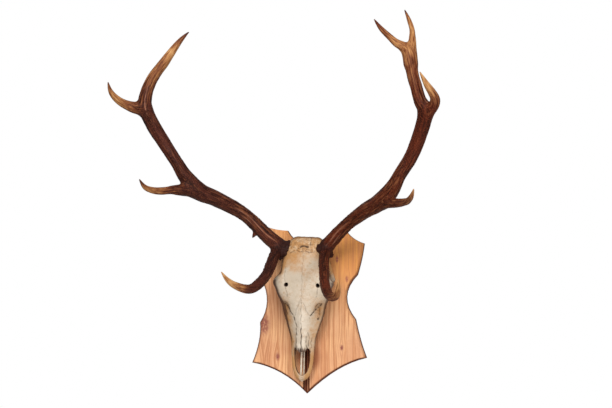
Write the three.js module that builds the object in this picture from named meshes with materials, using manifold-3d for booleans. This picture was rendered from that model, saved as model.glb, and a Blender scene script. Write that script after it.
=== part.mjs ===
// A pair of red deer antlers on a cut upper skull, fixed to a carved wooden shield that hangs on a wall.
// Millimetres. X runs to the viewer's right, Z up, and the wall is at Y = 0 with the room towards -Y.
import * as THREE from "three";
import { mergeVertices } from "three/addons/utils/BufferGeometryUtils.js";
import Module from "manifold-3d";

const wasm = await Module();
wasm.setup();

// Driving dimensions
const GAP = 0.3; // clearance between pieces that touch
const BOARD_THICKNESS = 20;
const BOARD_CHAMFER = 3.5;
const GROOVE = { centre: 1, spacing: 6.6, width: 3.8, depth: 2 };
const SKULL_ROLL = THREE.MathUtils.degToRad(2.8); // the skull leans to the viewer's right on the board
const SKULL_PIVOT = new THREE.Vector3(3, 0, 10);
const SKULL_SIDES = 20;
const SKULL_ROUNDNESS = 0.55; // below 1 the forehead is flatter than an ellipse
const BONE_WALL = 10;
const CAVITY = { share: 0.6, bottom: -104, top: 125 };
const ORBIT = { x: 88, height: 40, z: 66, radius: 27 };
const FORAMEN = { x: 42, height: 70, z: 69, radius: 5, depth: 14 };
const NASAL_SLOT = { inner: 6, outer: 20, top: -98, bottom: -160 };
const PEDICLE = { radius: 18, length: 44 };
const BURR = { radius: 28, rim: 22, thickness: 14 };
const MAIN_SIDES = 12;
const MAIN_ROWS = 44;
const TINE_SIDES = 10;
const TINE_ROWS = 11;
const PLATE = { x: 9, z: 100, width: 24, height: 70, thickness: 1.5, corner: 5 };
const KEYHOLE = { drop: 6, headRadius: 5.2, slotHalf: 2.6, rise: 10 };
const POCKET = { width: 16, height: 40, depth: 8 };
const PLATE_SCREW = { spacing: 54, head: 3.2, shank: 1.5, length: 12 };
const SKULL_SCREW = { x: 24, z: 142, head: 5, shank: 2.5, length: 62 };

// Centre line and radius of each branch: x, y, z, radius
const LEFT_MAIN = [
  [-45, -62, 158, 20],
  [-81, -80, 188, 18.6],
  [-131, -110, 241, 16.6],
  [-160, -137, 264, 17.6],
  [-197, -176, 286, 19.6],
  [-227, -205, 301, 21],
  [-240, -219, 316, 20.5],
  [-258, -231, 341, 17.4],
  [-273, -238, 368, 15.2],
  [-302, -243, 413, 15.8],
  [-331, -258, 464, 17.2],
  [-343, -282, 511, 16.5],
  [-328, -284, 566, 14],
  [-292, -277, 619, 11.5],
  [-259, -268, 667, 6.5],
  [-239, -262, 689, 2],
];
const LEFT_BROW = [
  [-61, -74, 163, 13],
  [-65, -100, 140, 13.6],
  [-71, -145, 98, 13],
  [-80, -185, 75, 12.4],
  [-93, -222, 62, 11.2],
  [-118, -266, 73, 8.6],
  [-130, -282, 85, 6],
  [-141, -296, 104, 2],
];
const LEFT_TREZ = [
  [-232, -207, 304, 17],
  [-266, -248, 304, 13.4],
  [-281, -270, 302, 10],
  [-295, -288, 299, 9.2],
  [-307, -310, 299, 8],
  [-318, -338, 305, 6],
  [-324, -359, 322, 2],
];
const LEFT_OUTER = [
  [-340, -282, 498, 14],
  [-364, -288, 503, 14],
  [-382, -298, 509, 11.4],
  [-398, -314, 519, 9],
  [-409, -332, 535, 6.4],
  [-410, -350, 557, 2],
];
const LEFT_SPUR = [
  [-111, -95, 211, 8],
  [-116, -98, 199, 5.6],
  [-120, -101, 191, 2.4],
];
const RIGHT_MAIN = [
  [55, -62, 158, 20],
  [86, -78, 188, 17.2],
  [125, -106, 221, 15.8],
  [176, -150, 251, 18.6],
  [217, -190, 269, 20.6],
  [240, -214, 284, 20.6],
  [258, -229, 303, 18.2],
  [274, -237, 330, 15.4],
  [300, -242, 369, 15.4],
  [320, -252, 410, 16.4],
  [340, -282, 474, 17],
  [329, -284, 499, 14.4],
  [321, -284, 528, 14],
  [313, -281, 556, 13.6],
  [307, -277, 590, 14.4],
  [300, -275, 614, 14.2],
  [287, -275, 628, 11],
  [274, -276, 636, 9.3],
  [259, -279, 650, 7.3],
  [240, -286, 669, 5.6],
  [225, -290, 690, 2],
];
const RIGHT_BROW = [
  [62, -76, 158, 13],
  [65, -100, 138, 13.4],
  [73, -140, 106, 12.4],
  [85, -185, 73, 11.8],
  [100, -222, 53, 11.2],
  [117, -252, 46, 10],
  [133, -276, 54, 8],
  [141, -298, 87, 2],
];
const RIGHT_TREZ = [
  [227, -200, 270, 14.5],
  [254, -236, 267, 12],
  [276, -262, 265, 10.2],
  [291, -284, 265, 8.7],
  [302, -302, 267, 7.5],
  [314, -332, 275, 5.6],
  [322, -352, 290, 2],
];
const RIGHT_FRONT = [
  [343, -282, 466, 14],
  [362, -296, 484, 12],
  [366, -306, 497, 11],
  [360, -318, 511, 9.5],
  [351, -330, 525, 7.4],
  [337, -348, 552, 2],
];
const RIGHT_TOP_OUTER = [
  [307, -276, 587, 13],
  [308, -272, 614, 12],
  [310, -269, 635, 9.3],
  [310, -265, 653, 7.3],
  [309, -261, 668, 6.2],
  [301, -253, 693, 5],
  [290, -245, 719, 2],
];

// Skull sections along its own axis: z, half width, widest level, drop below it, top, as heights above the board
const SKULL_SECTIONS = [
  [-176, 3, 19, 4, 23],
  [-170, 11, 20, 7, 26],
  [-162, 18.5, 21, 8, 28],
  [-146, 25, 22, 9, 29],
  [-120, 29, 24, 11, 32],
  [-104, 29.5, 26, 22, 40],
  [-92, 29.5, 27, 35, 46],
  [-63, 34, 30, 39, 53],
  [-30, 44.6, 32, 42, 60],
  [-5, 53, 35, 46, 66],
  [19, 58, 41, 53, 71],
  [42, 67.5, 52, 68, 74],
  [59, 73, 58, 75, 76],
  [74, 79, 61, 79, 76],
  [84, 73, 60, 78, 77],
  [97, 62, 56, 73, 78],
  [125, 60, 50, 65, 78],
  [150, 53, 46, 60, 76],
  [170, 47, 42, 55, 71],
  [184, 42, 37, 48, 62],
  [192, 34, 30, 39, 50],
];

// Looks from the photograph
const ANTLER = { color: 0x5a3426, roughness: 0.55, metalness: 0 };
const BONE = { color: 0xdccdb0, roughness: 0.6, metalness: 0 };
const WOOD = { color: 0xdca070, roughness: 0.5, metalness: 0 };
const STEEL = { color: 0xa8a9ab, roughness: 0.35, metalness: 1 };

// Solids
function solidOf(geometry) {
  const bare = geometry.clone();
  bare.deleteAttribute("normal");
  bare.deleteAttribute("uv");
  const merged = mergeVertices(bare, 1e-3);
  const mesh = new wasm.Mesh({
    numProp: 3,
    vertProperties: merged.attributes.position.array,
    triVerts: new Uint32Array(merged.index.array),
  });
  return new wasm.Manifold(mesh);
}

function largestBody(solid) {
  const bodies = solid.decompose();
  bodies.sort((a, b) => b.volume() - a.volume());
  return bodies[0];
}

function pieceMesh(name, solid, look) {
  const made = largestBody(solid).getMesh();
  const geometry = new THREE.BufferGeometry();
  geometry.setAttribute("position", new THREE.BufferAttribute(made.vertProperties, 3));
  geometry.setIndex(new THREE.BufferAttribute(made.triVerts, 1));
  geometry.computeVertexNormals();
  const mesh = new THREE.Mesh(geometry, new THREE.MeshStandardMaterial(look));
  mesh.name = name;
  return mesh;
}

// A branch line is a row of round sections along a smooth curve through its points.
function branchLine(points, rowCount) {
  const places = points.map(([x, y, z]) => new THREE.Vector3(x, y, z));
  const curve = new THREE.CatmullRomCurve3(places, false, "centripetal");
  const frames = curve.computeFrenetFrames(rowCount, false);
  const rows = [];
  for (let row = 0; row <= rowCount; row++) {
    const along = curve.getUtoTmapping(row / rowCount) * (points.length - 1);
    const before = Math.min(Math.floor(along), points.length - 2);
    const radius = THREE.MathUtils.lerp(points[before][3], points[before + 1][3], along - before);
    rows.push({
      centre: curve.getPointAt(row / rowCount),
      tangent: frames.tangents[row],
      normal: frames.normals[row],
      binormal: frames.binormals[row],
      radius,
    });
  }
  return rows;
}

function rowNearest(rows, [x, y, z]) {
  const place = new THREE.Vector3(x, y, z);
  const distances = rows.map((row) => row.centre.distanceTo(place));
  return distances.indexOf(Math.min(...distances));
}

// The tube between two rows, with its flat ends drawn back by half a gap where trimmed.
function tube(rows, sides, first, last, { grow = 0, trimFirst = false, trimLast = false } = {}) {
  const count = last - first;
  const geometry = new THREE.CylinderGeometry(1, 1, 1, sides, count);
  const position = geometry.attributes.position;
  const place = new THREE.Vector3();
  for (let i = 0; i < position.count; i++) {
    const step = Math.round((position.getY(i) + 0.5) * count);
    const row = rows[first + step];
    const radius = row.radius + grow;
    place.copy(row.centre);
    place.addScaledVector(row.binormal, position.getX(i) * radius);
    place.addScaledVector(row.normal, position.getZ(i) * radius);
    if (step === 0 && trimFirst) place.addScaledVector(row.tangent, GAP / 2);
    if (step === count && trimLast) place.addScaledVector(row.tangent, -GAP / 2);
    position.setXYZ(i, place.x, place.y, place.z);
  }
  return solidOf(geometry);
}

function wholeTube(rows, sides, grow = 0) {
  return tube(rows, sides, 0, rows.length - 1, { grow });
}

// A turned body along a direction, from a profile of radius and distance pairs.
function turned(profile, start, direction, sides = 16) {
  const geometry = new THREE.LatheGeometry(profile.map(([r, d]) => new THREE.Vector2(r, d)), sides);
  const turn = new THREE.Quaternion().setFromUnitVectors(new THREE.Vector3(0, 1, 0), direction);
  geometry.applyQuaternion(turn);
  geometry.translate(start.x, start.y, start.z);
  return solidOf(geometry);
}

// The rough ring where an antler sits on its pedicle
function burr(rows, grow = 0) {
  const half = BURR.thickness / 2 + grow;
  const profile = [
    [0, -half],
    [BURR.rim + grow, -half],
    [BURR.radius + grow, -half / 2],
    [BURR.radius + grow, half / 2],
    [BURR.rim + grow, half],
    [0, half],
  ];
  return turned(profile, rows[0].centre, rows[0].tangent);
}

// The bone stump of the skull that carries an antler, ending just under the burr
function pedicle(rows) {
  const reach = BURR.thickness / 2 + GAP;
  const profile = [
    [0, -PEDICLE.length],
    [PEDICLE.radius, -PEDICLE.length],
    [PEDICLE.radius, -reach],
    [0, -reach],
  ];
  return turned(profile, rows[0].centre, rows[0].tangent);
}

// One antler: its main line split where each stretch ends, and side tines cut to fit against it.
function antler(side, mainPoints, stretches, tines, spurPoints) {
  const main = branchLine(mainPoints, MAIN_ROWS);
  const keepOut = wholeTube(main, MAIN_SIDES, GAP).add(burr(main, GAP));
  const meshes = [];
  let first = 0;
  for (const { name, end } of stretches) {
    const last = rowNearest(main, end);
    const ends = { trimFirst: first > 0, trimLast: last < MAIN_ROWS };
    let solid = tube(main, MAIN_SIDES, first, last, ends);
    if (first === 0) solid = solid.add(burr(main));
    if (first === 0 && spurPoints) solid = solid.add(wholeTube(branchLine(spurPoints, 4), 8));
    meshes.push(pieceMesh(`${side}_${name}`, solid, ANTLER));
    first = last;
  }
  let outline = keepOut;
  for (const { name, points } of tines) {
    const rows = branchLine(points, TINE_ROWS);
    meshes.push(pieceMesh(`${side}_${name}`, wholeTube(rows, TINE_SIDES).subtract(keepOut), ANTLER));
    outline = outline.add(wholeTube(rows, TINE_SIDES, GAP));
  }
  return { meshes, outline, pedicle: pedicle(main) };
}

// A loft on the board's front along the skull's own axis, widest above the board and drawn in below
function skullLoft(sections) {
  const geometry = new THREE.CylinderGeometry(1, 1, 1, SKULL_SIDES, sections.length - 1);
  const position = geometry.attributes.position;
  for (let i = 0; i < position.count; i++) {
    const section = Math.round((position.getY(i) + 0.5) * (sections.length - 1));
    const [z, halfWidth, level, drop, top] = sections[section];
    const front = position.getZ(i);
    const upper = level + Math.max(0, front) ** SKULL_ROUNDNESS * (top - level);
    const height = front > 0 ? upper : Math.max(0, level + front * drop);
    position.setXYZ(i, position.getX(i) * halfWidth, -BOARD_THICKNESS - GAP - height, z);
  }
  return solidOf(geometry);
}

// Turns a solid from the skull's own upright axis to its lean on the board.
function leaned(solid) {
  const turn = new THREE.Matrix4().makeRotationY(SKULL_ROLL);
  const place = new THREE.Matrix4().makeTranslation(SKULL_PIVOT);
  const back = new THREE.Matrix4().makeTranslation(SKULL_PIVOT.clone().negate());
  place.multiply(turn).multiply(back);
  return solid.transform(place.elements);
}

function skullCavity() {
  const inside = SKULL_SECTIONS.filter(([z]) => z >= CAVITY.bottom && z <= CAVITY.top);
  const sections = inside.map(([z, halfWidth, , , top]) => {
    return [z, CAVITY.share * halfWidth - BONE_WALL / 2, 0, 0, top - BONE_WALL];
  });
  return skullLoft(sections).translate([0, 1, 0]);
}

function orbit(sign) {
  const ball = new THREE.SphereGeometry(ORBIT.radius, 16, 12);
  ball.translate(sign * ORBIT.x, -BOARD_THICKNESS - ORBIT.height, ORBIT.z);
  return solidOf(ball);
}

function foramen(sign) {
  const hole = new THREE.CylinderGeometry(FORAMEN.radius, FORAMEN.radius, FORAMEN.depth, 12);
  hole.translate(sign * FORAMEN.x, -BOARD_THICKNESS - FORAMEN.height, FORAMEN.z);
  return solidOf(hole);
}

// A tapered slit beside the middle rods of the nose opening, right through to the board
function nasalSlot(sign) {
  const shape = new THREE.Shape();
  shape.moveTo(NASAL_SLOT.inner, NASAL_SLOT.top);
  shape.lineTo(NASAL_SLOT.outer, NASAL_SLOT.top + 2);
  shape.quadraticCurveTo(NASAL_SLOT.outer + 1, -130, NASAL_SLOT.inner + 1, NASAL_SLOT.bottom);
  shape.closePath();
  const slot = new THREE.ExtrudeGeometry(shape, { depth: 120, bevelEnabled: false, curveSegments: 6 });
  slot.rotateX(Math.PI / 2);
  const solid = solidOf(slot);
  return sign > 0 ? solid : solid.mirror([1, 0, 0]);
}

function skull(antlers) {
  let solid = leaned(skullLoft(SKULL_SECTIONS).subtract(skullCavity()));
  for (const { pedicle: stump } of antlers) solid = solid.add(stump);
  for (const sign of [-1, 1]) {
    const cuts = orbit(sign).add(foramen(sign)).add(nasalSlot(sign));
    solid = solid.subtract(leaned(cuts));
  }
  for (const { outline } of antlers) solid = solid.subtract(outline);
  for (const [x, z] of skullScrewPlaces()) solid = solid.subtract(screw(SKULL_SCREW, x, 0, z, GAP));
  return pieceMesh("skull", solid, BONE);
}

// A countersunk wood screw driven from the back along -Y
function screw({ head, shank, length }, x, y, z, grow = 0) {
  const profile = [
    [0, -grow],
    [head + grow, -grow],
    [head + grow, 0.4],
    [shank + grow, head - shank + 0.6],
    [shank + grow, length - 2 * shank],
    [0, length + grow],
  ];
  return turned(profile, new THREE.Vector3(x, y, z), new THREE.Vector3(0, -1, 0), 16);
}

function skullScrewPlaces() {
  const middle = SKULL_PIVOT.x + Math.tan(SKULL_ROLL) * (SKULL_SCREW.z - SKULL_PIVOT.z);
  return [-1, 1].map((sign) => [middle + sign * SKULL_SCREW.x, SKULL_SCREW.z]);
}

function plateScrewPlaces() {
  return [1, -1].map((sign) => [PLATE.x, PLATE.z + (sign * PLATE_SCREW.spacing) / 2]);
}

// The hand-cut outline of the shield, from the bottom tip round by the right
function boardShape() {
  const shape = new THREE.Shape();
  shape.moveTo(2, -211);
  shape.quadraticCurveTo(80, -136, 157, -117);
  shape.quadraticCurveTo(141, -79, 129, -20);
  shape.quadraticCurveTo(80, 39, 134, 94);
  shape.quadraticCurveTo(147, 135, 152, 175);
  shape.quadraticCurveTo(118, 185, 100, 214);
  shape.lineTo(66, 192);
  shape.quadraticCurveTo(15, 130, -43, 197);
  shape.lineTo(-51, 209);
  shape.quadraticCurveTo(-90, 211, -118, 223);
  shape.quadraticCurveTo(-73, 152, -121, 84);
  shape.quadraticCurveTo(-89, 23, -124, -30);
  shape.quadraticCurveTo(-120, -77, -145, -135);
  shape.quadraticCurveTo(-62, -147, 2, -211);
  return shape;
}

function roundedRectangle(width, height, corner) {
  const x = width / 2;
  const z = height / 2;
  const shape = new THREE.Shape();
  shape.moveTo(corner - x, -z);
  shape.absarc(x - corner, corner - z, corner, -Math.PI / 2, 0);
  shape.absarc(x - corner, z - corner, corner, 0, Math.PI / 2);
  shape.absarc(corner - x, z - corner, corner, Math.PI / 2, Math.PI);
  shape.absarc(corner - x, corner - z, corner, Math.PI, 1.5 * Math.PI);
  return shape;
}

// A flat outline given a thickness from one depth behind the wall plane towards the room
function slab(shape, thickness, x, z, depth = 0) {
  const geometry = new THREE.ExtrudeGeometry(shape, {
    depth: thickness,
    bevelEnabled: false,
    curveSegments: 8,
  });
  geometry.rotateX(Math.PI / 2);
  geometry.translate(x, -depth, z);
  return solidOf(geometry);
}

function box(width, depth, height, x, y, z) {
  const geometry = new THREE.BoxGeometry(width, depth, height);
  geometry.translate(x, y, z);
  return solidOf(geometry);
}

function board() {
  const geometry = new THREE.ExtrudeGeometry(boardShape(), {
    depth: BOARD_THICKNESS - 2 * BOARD_CHAMFER,
    bevelThickness: BOARD_CHAMFER,
    bevelSize: BOARD_CHAMFER,
    bevelOffset: -BOARD_CHAMFER,
    bevelSegments: 1,
    curveSegments: 8,
  });
  geometry.translate(0, 0, BOARD_CHAMFER);
  geometry.rotateX(Math.PI / 2);
  let solid = solidOf(geometry);
  for (const place of [-1, 0, 1]) {
    const x = GROOVE.centre + place * GROOVE.spacing;
    solid = solid.subtract(box(GROOVE.width, 2 * GROOVE.depth, 600, x, -BOARD_THICKNESS, 0));
  }
  const recess = roundedRectangle(PLATE.width + 2 * GAP, PLATE.height + 2 * GAP, PLATE.corner);
  solid = solid.subtract(slab(recess, PLATE.thickness + GAP + 1, PLATE.x, PLATE.z, -1));
  const pocketY = -PLATE.thickness - POCKET.depth / 2;
  solid = solid.subtract(box(POCKET.width, POCKET.depth, POCKET.height, PLATE.x, pocketY, PLATE.z));
  for (const [x, z] of plateScrewPlaces()) solid = solid.subtract(screw(PLATE_SCREW, x, 0, z, GAP));
  for (const [x, z] of skullScrewPlaces()) solid = solid.subtract(screw(SKULL_SCREW, x, 0, z, GAP));
  return pieceMesh("shield_board", solid, WOOD);
}

// The steel hanger in the back: a round hole for a screw head and a slot above it
function hangerPlate() {
  const shape = roundedRectangle(PLATE.width, PLATE.height, PLATE.corner);
  const meet = Math.asin(KEYHOLE.slotHalf / KEYHOLE.headRadius);
  const keyhole = new THREE.Path();
  keyhole.absarc(0, -KEYHOLE.drop, KEYHOLE.headRadius, Math.PI / 2 + meet, Math.PI / 2 - meet + 2 * Math.PI);
  keyhole.absarc(0, KEYHOLE.rise, KEYHOLE.slotHalf, 0, Math.PI);
  keyhole.closePath();
  shape.holes.push(keyhole);
  let solid = slab(shape, PLATE.thickness, PLATE.x, PLATE.z);
  for (const [x, z] of plateScrewPlaces()) solid = solid.subtract(screw(PLATE_SCREW, x, 0, z, GAP));
  return pieceMesh("hanger_plate", solid, STEEL);
}

// Assembly
const leftStretches = [
  { name: "lower_beam", end: LEFT_MAIN[6] },
  { name: "upper_beam", end: LEFT_MAIN[11] },
  { name: "inner_crown_tine", end: LEFT_MAIN.at(-1) },
];
const leftTines = [
  { name: "brow_tine", points: LEFT_BROW },
  { name: "trez_tine", points: LEFT_TREZ },
  { name: "outer_crown_tine", points: LEFT_OUTER },
];
const rightStretches = [
  { name: "lower_beam", end: RIGHT_MAIN[6] },
  { name: "upper_beam", end: RIGHT_MAIN[10] },
  { name: "crown_stem", end: RIGHT_MAIN[15] },
  { name: "top_inner_tine", end: RIGHT_MAIN.at(-1) },
];
const rightTines = [
  { name: "brow_tine", points: RIGHT_BROW },
  { name: "trez_tine", points: RIGHT_TREZ },
  { name: "front_crown_tine", points: RIGHT_FRONT },
  { name: "top_outer_tine", points: RIGHT_TOP_OUTER },
];
const left = antler("left", LEFT_MAIN, leftStretches, leftTines, LEFT_SPUR);
const right = antler("right", RIGHT_MAIN, rightStretches, rightTines);

const trophy = new THREE.Group();
trophy.add(board());
trophy.add(skull([left, right]));
trophy.add(...left.meshes);
trophy.add(...right.meshes);
trophy.add(hangerPlate());
plateScrewPlaces().forEach(([x, z], i) => {
  trophy.add(pieceMesh(`hanger_screw_${i + 1}`, screw(PLATE_SCREW, x, 0, z), STEEL));
});
skullScrewPlaces().forEach(([x, z], i) => {
  trophy.add(pieceMesh(`skull_screw_${i + 1}`, screw(SKULL_SCREW, x, 0, z), STEEL));
});

export default trophy;
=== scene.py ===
"""Red deer antlers on a cut upper skull, on a carved wooden shield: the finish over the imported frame."""
import math

import bmesh
import bpy
import numpy as np
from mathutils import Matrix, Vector


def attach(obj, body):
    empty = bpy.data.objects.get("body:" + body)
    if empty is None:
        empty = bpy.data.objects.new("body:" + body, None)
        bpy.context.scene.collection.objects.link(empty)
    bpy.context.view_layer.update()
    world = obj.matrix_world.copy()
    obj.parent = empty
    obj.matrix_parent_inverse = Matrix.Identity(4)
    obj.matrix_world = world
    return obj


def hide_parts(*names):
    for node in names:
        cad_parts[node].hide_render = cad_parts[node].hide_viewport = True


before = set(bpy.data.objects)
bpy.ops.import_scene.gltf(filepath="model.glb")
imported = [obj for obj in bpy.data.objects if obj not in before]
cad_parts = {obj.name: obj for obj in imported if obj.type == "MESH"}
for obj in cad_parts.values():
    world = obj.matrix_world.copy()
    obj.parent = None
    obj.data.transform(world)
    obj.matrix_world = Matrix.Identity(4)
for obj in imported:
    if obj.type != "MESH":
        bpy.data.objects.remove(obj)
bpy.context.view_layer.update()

MM = 0.001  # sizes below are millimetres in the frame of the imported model
SEED = 11
FAR = 40.0  # stands for any larger distance
POINTS_AT_ONCE = 4000

# Camera, from the photograph's perspective
IMAGE_WIDTH = 612
VIEW_AZIMUTH = math.radians(13)
VIEW_ELEVATION = math.radians(-3)
VIEW_DISTANCE = 2700
VIEW_TARGET = (0, -20, 278)
MM_PER_PIXEL = 2.6  # at the front of the shield
SENSOR = 36
FRONT = np.array([0.22, -0.97, 0.0])  # from the trophy towards the camera, on the level

# Studio: place, size and watts of each lamp
LAMPS = {"key_light": ((50, -2650, 1850), 1500, 100), "fill_light": ((1900, -1900, 100), 1200, 30)}
LAMP_AIM = (0, -150, 250)
WORLD_LIGHT = 0.42
FLOOR_LEVEL = -620
FLOOR_RADIUS = 1500

# Shield
BOARD_FRONT = 20
BORDER = 2.8
SHARP_CORNER = (-113.2, -20, 218.3)
SLIVER = 4
WIDE_FACE = 0.002  # square metres, passed only by the two halves of the front
GROOVE_MIDDLE = 1
# Middle of the painted shadow behind the nose opening
NOSE_SHADOW_MIDDLE = (5, -20, -118)
# x, z and radius of each knot
KNOTS = [(-112, -36, 20), (-76, -118, 8), (94, -92, 6), (82, 134, 6), (108, 84, 6)]

# Skull, in its own upright frame: x across, height above the shield, z along
SKULL_ROLL = math.radians(2.8)
SKULL_PIVOT = (3, 10)
SKULL_STEP = 1.36
SKULL_BOX = ((-96, -5, -188), (96, 92, 206))
BONE_WALL = 9
HOLLOW_ENDS = (-150, 116)
SKULL_SECTIONS = np.array([
    # z, half width, widest level, drop below it, top, side fullness, top fullness
    (-180, 5, 19, 4, 23, 2.0, 2.0),
    (-175, 11, 20, 7, 26, 2.0, 2.0),
    (-166, 18, 21, 8, 28, 2.0, 2.0),
    (-148, 25, 22, 9, 29, 2.0, 2.0),
    (-120, 29, 24, 11, 32, 1.9, 1.9),
    (-104, 29.5, 26, 22, 40, 1.6, 1.6),
    (-92, 29.5, 27, 35, 46, 1.35, 1.3),
    (-63, 34, 30, 39, 53, 1.25, 1.2),
    (-30, 44.6, 32, 42, 60, 1.25, 1.2),
    (-5, 53, 35, 46, 66, 1.35, 1.3),
    (19, 58, 41, 53, 71, 1.7, 1.6),
    (42, 67.5, 52, 68, 74, 2.6, 2.0),
    (59, 73, 58, 75, 76, 3.4, 2.2),
    (74, 80, 61, 79, 76, 3.8, 2.3),
    (84, 74, 60, 78, 77, 3.6, 2.3),
    (97, 62, 56, 73, 78, 3.2, 2.2),
    (125, 60, 50, 65, 78, 2.8, 2.1),
    (150, 53, 46, 60, 76, 2.6, 2.0),
    (170, 47, 42, 55, 71, 2.5, 2.0),
    (184, 42, 37, 48, 62, 2.5, 2.0),
    (194, 37, 32, 42, 52, 2.5, 2.0),
])
SECTION_BLEND = 4.0
SKULL_TOP = 192
STUMP_LENGTH = 34
STUMP_RADII = (18.5, 20)
NASAL_ENDS = (-102, -55)
NOSE_OPENING_ENDS = (-162, -92)
NOSE_OPENING_HEIGHT = 43
# z and half width
NOSE_OPENING = np.array([
    (-161, 4), (-157, 10), (-150, 14.5), (-140, 17.5), (-120, 20.5), (-98, 20), (-88, 16),
])
NASAL_HALF_WIDTH = np.array([(-102, 13), (-60, 11.5), (-10, 10), (10, 8), (30, 4)])
# Middle and radius of each nick in the free end of the nose bones
NASAL_NICKS = [
    (-11, 44, -101, 3.6), (-4, 48, -100, 2.4), (5, 47, -102, 3.2),
    (12, 42, -102, 3.8), (-19, 35, -101, 3), (19, 34, -100, 3),
]
# Middle, radii and fillet of eye socket, tear pit and temple, cut on both sides
SIDE_HOLLOWS = [
    ((88, 37, 61), (52, 22, 23), 4),
    ((43, 55, 4), (10, 9, 20), 7),
    ((72, 28, 112), (18, 32, 24), 8),
]
# Lower and upper end of two thin bones in the nose opening
NOSE_RODS = [(3.8, 17, -166), (3.4, 24, -100)]
NOSE_ROD_RADIUS = 2.1
CHEEK_ARCH = [(50, 16, 140, 5), (59, 18, 112, 5.5), (70, 26, 86, 6)]
BROW_HOLES = [(-41, 68), (42, 70)]
BROW_HOLE_RADIUS = 5.2
SOCKET_GAP = (67, 62, 58)
SOCKET_GAP_RADII = (5.5, 20, 10)
FULL_CRACK = 1.1  # depth from which a crack is fully dark
UNBROKEN_CRACK = 1.5  # depth past which a crack runs without gaps
CRACKS = [
    # depth, width and route of each line in the bone, x and z
    (2.0, 2.0, [(-9, 165), (-3, 168.5), (4, 169), (11, 166)]),
    (0.7, 1.2, [(14, 190), (16, 176), (19, 166)]),
    (0.7, 1.2, [(-34, 150), (-20, 157), (-8, 153), (3, 156), (14, 152), (28, 155)]),
    (0.5, 1.2, [(-28, 163), (-10, 160), (4, 161), (22, 159)]),
    (0.3, 1.2, [(2, 145), (0, 110), (1, 70), (0, 40)]),
    (0.6, 1.2, [(0, 36), (0.5, -10), (0.3, -40)]),
    (1.6, 1.5, [(0.3, -40), (0.8, -70), (0, -101)]),
    (0.7, 1.2, [(-12, -66), (-13.5, -100)]),
    (0.7, 1.2, [(12, -60), (14, -100)]),
    (1.1, 1.3, [(-47, 20), (-38, 12), (-31, 2), (-27, -5), (-18, -16), (-14, -34), (-13, -60)]),
    (0.9, 1.3, [(-46, 20), (-45, 6), (-41, -8)]),
    (1.1, 1.4, [(49, 24), (40, 15), (31, 3), (22, -7)]),
    (0.8, 1.2, [(43, 14), (44, 2), (41, -12)]),
    (1.7, 1.8, [(40.6, -14), (41.0, -16)]),
    (0.4, 1.3, [(-1, 36), (8, 18), (17, 0), (20, -14)]),
    (0.4, 1.3, [(-3, 32), (-11, 10), (-17, -9)]),
    (0.7, 1.0, [(17, -50), (19, -70), (17, -88)]),
    (0.6, 1.0, [(25, -64), (23, -90)]),
    (0.5, 1.2, [(-41, 64), (-39, 50), (-36, 36)]),
    (0.5, 1.2, [(42, 64), (40, 50), (37, 36)]),
    (0.4, 1.2, [(-44, 76), (-46, 96), (-44, 112)]),
]

# Antler branches: x, y, z, radius along each centre line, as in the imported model
ANTLER_STEP = 1.6
FORK_FILLET = 13
SPUR_FILLET = 4
BRANCH_ROW = 2.5
BRANCH_MARGIN = 22
BRANCH_REACH = 30
LEFT_ANTLER = {
    "main": [
        (-45, -62, 158, 20), (-81, -80, 188, 18.6), (-131, -110, 241, 16.6), (-160, -137, 264, 17.6),
        (-197, -176, 286, 19.6), (-227, -205, 301, 21), (-240, -219, 316, 20.5), (-258, -231, 341, 17.4),
        (-273, -238, 368, 15.2), (-302, -243, 413, 15.8), (-331, -258, 464, 17.2), (-343, -282, 511, 16.5),
        (-328, -284, 566, 14), (-292, -277, 619, 11.5), (-259, -268, 667, 6.5), (-239, -262, 689, 1.6),
    ],
    "brow": [
        (-61, -74, 163, 13), (-65, -100, 140, 13.6), (-71, -145, 98, 13), (-80, -185, 75, 12.4),
        (-93, -222, 62, 11.2), (-118, -266, 73, 8.6), (-130, -282, 85, 6), (-141, -296, 104, 1.6),
    ],
    "trez": [
        (-232, -207, 304, 17), (-266, -248, 304, 13.4), (-281, -270, 302, 10), (-295, -288, 299, 9.2),
        (-307, -310, 299, 8), (-318, -338, 305, 6), (-324, -359, 322, 1.6),
    ],
    "outer_crown": [
        (-340, -282, 498, 12), (-364, -288, 503, 14), (-382, -298, 509, 11.4), (-398, -314, 519, 9),
        (-409, -332, 535, 6.4), (-410, -350, 557, 1.6),
    ],
    "spur": [(-111, -95, 211, 8), (-116, -98, 199, 5.6), (-120, -101, 191, 2.4)],
}
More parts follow.
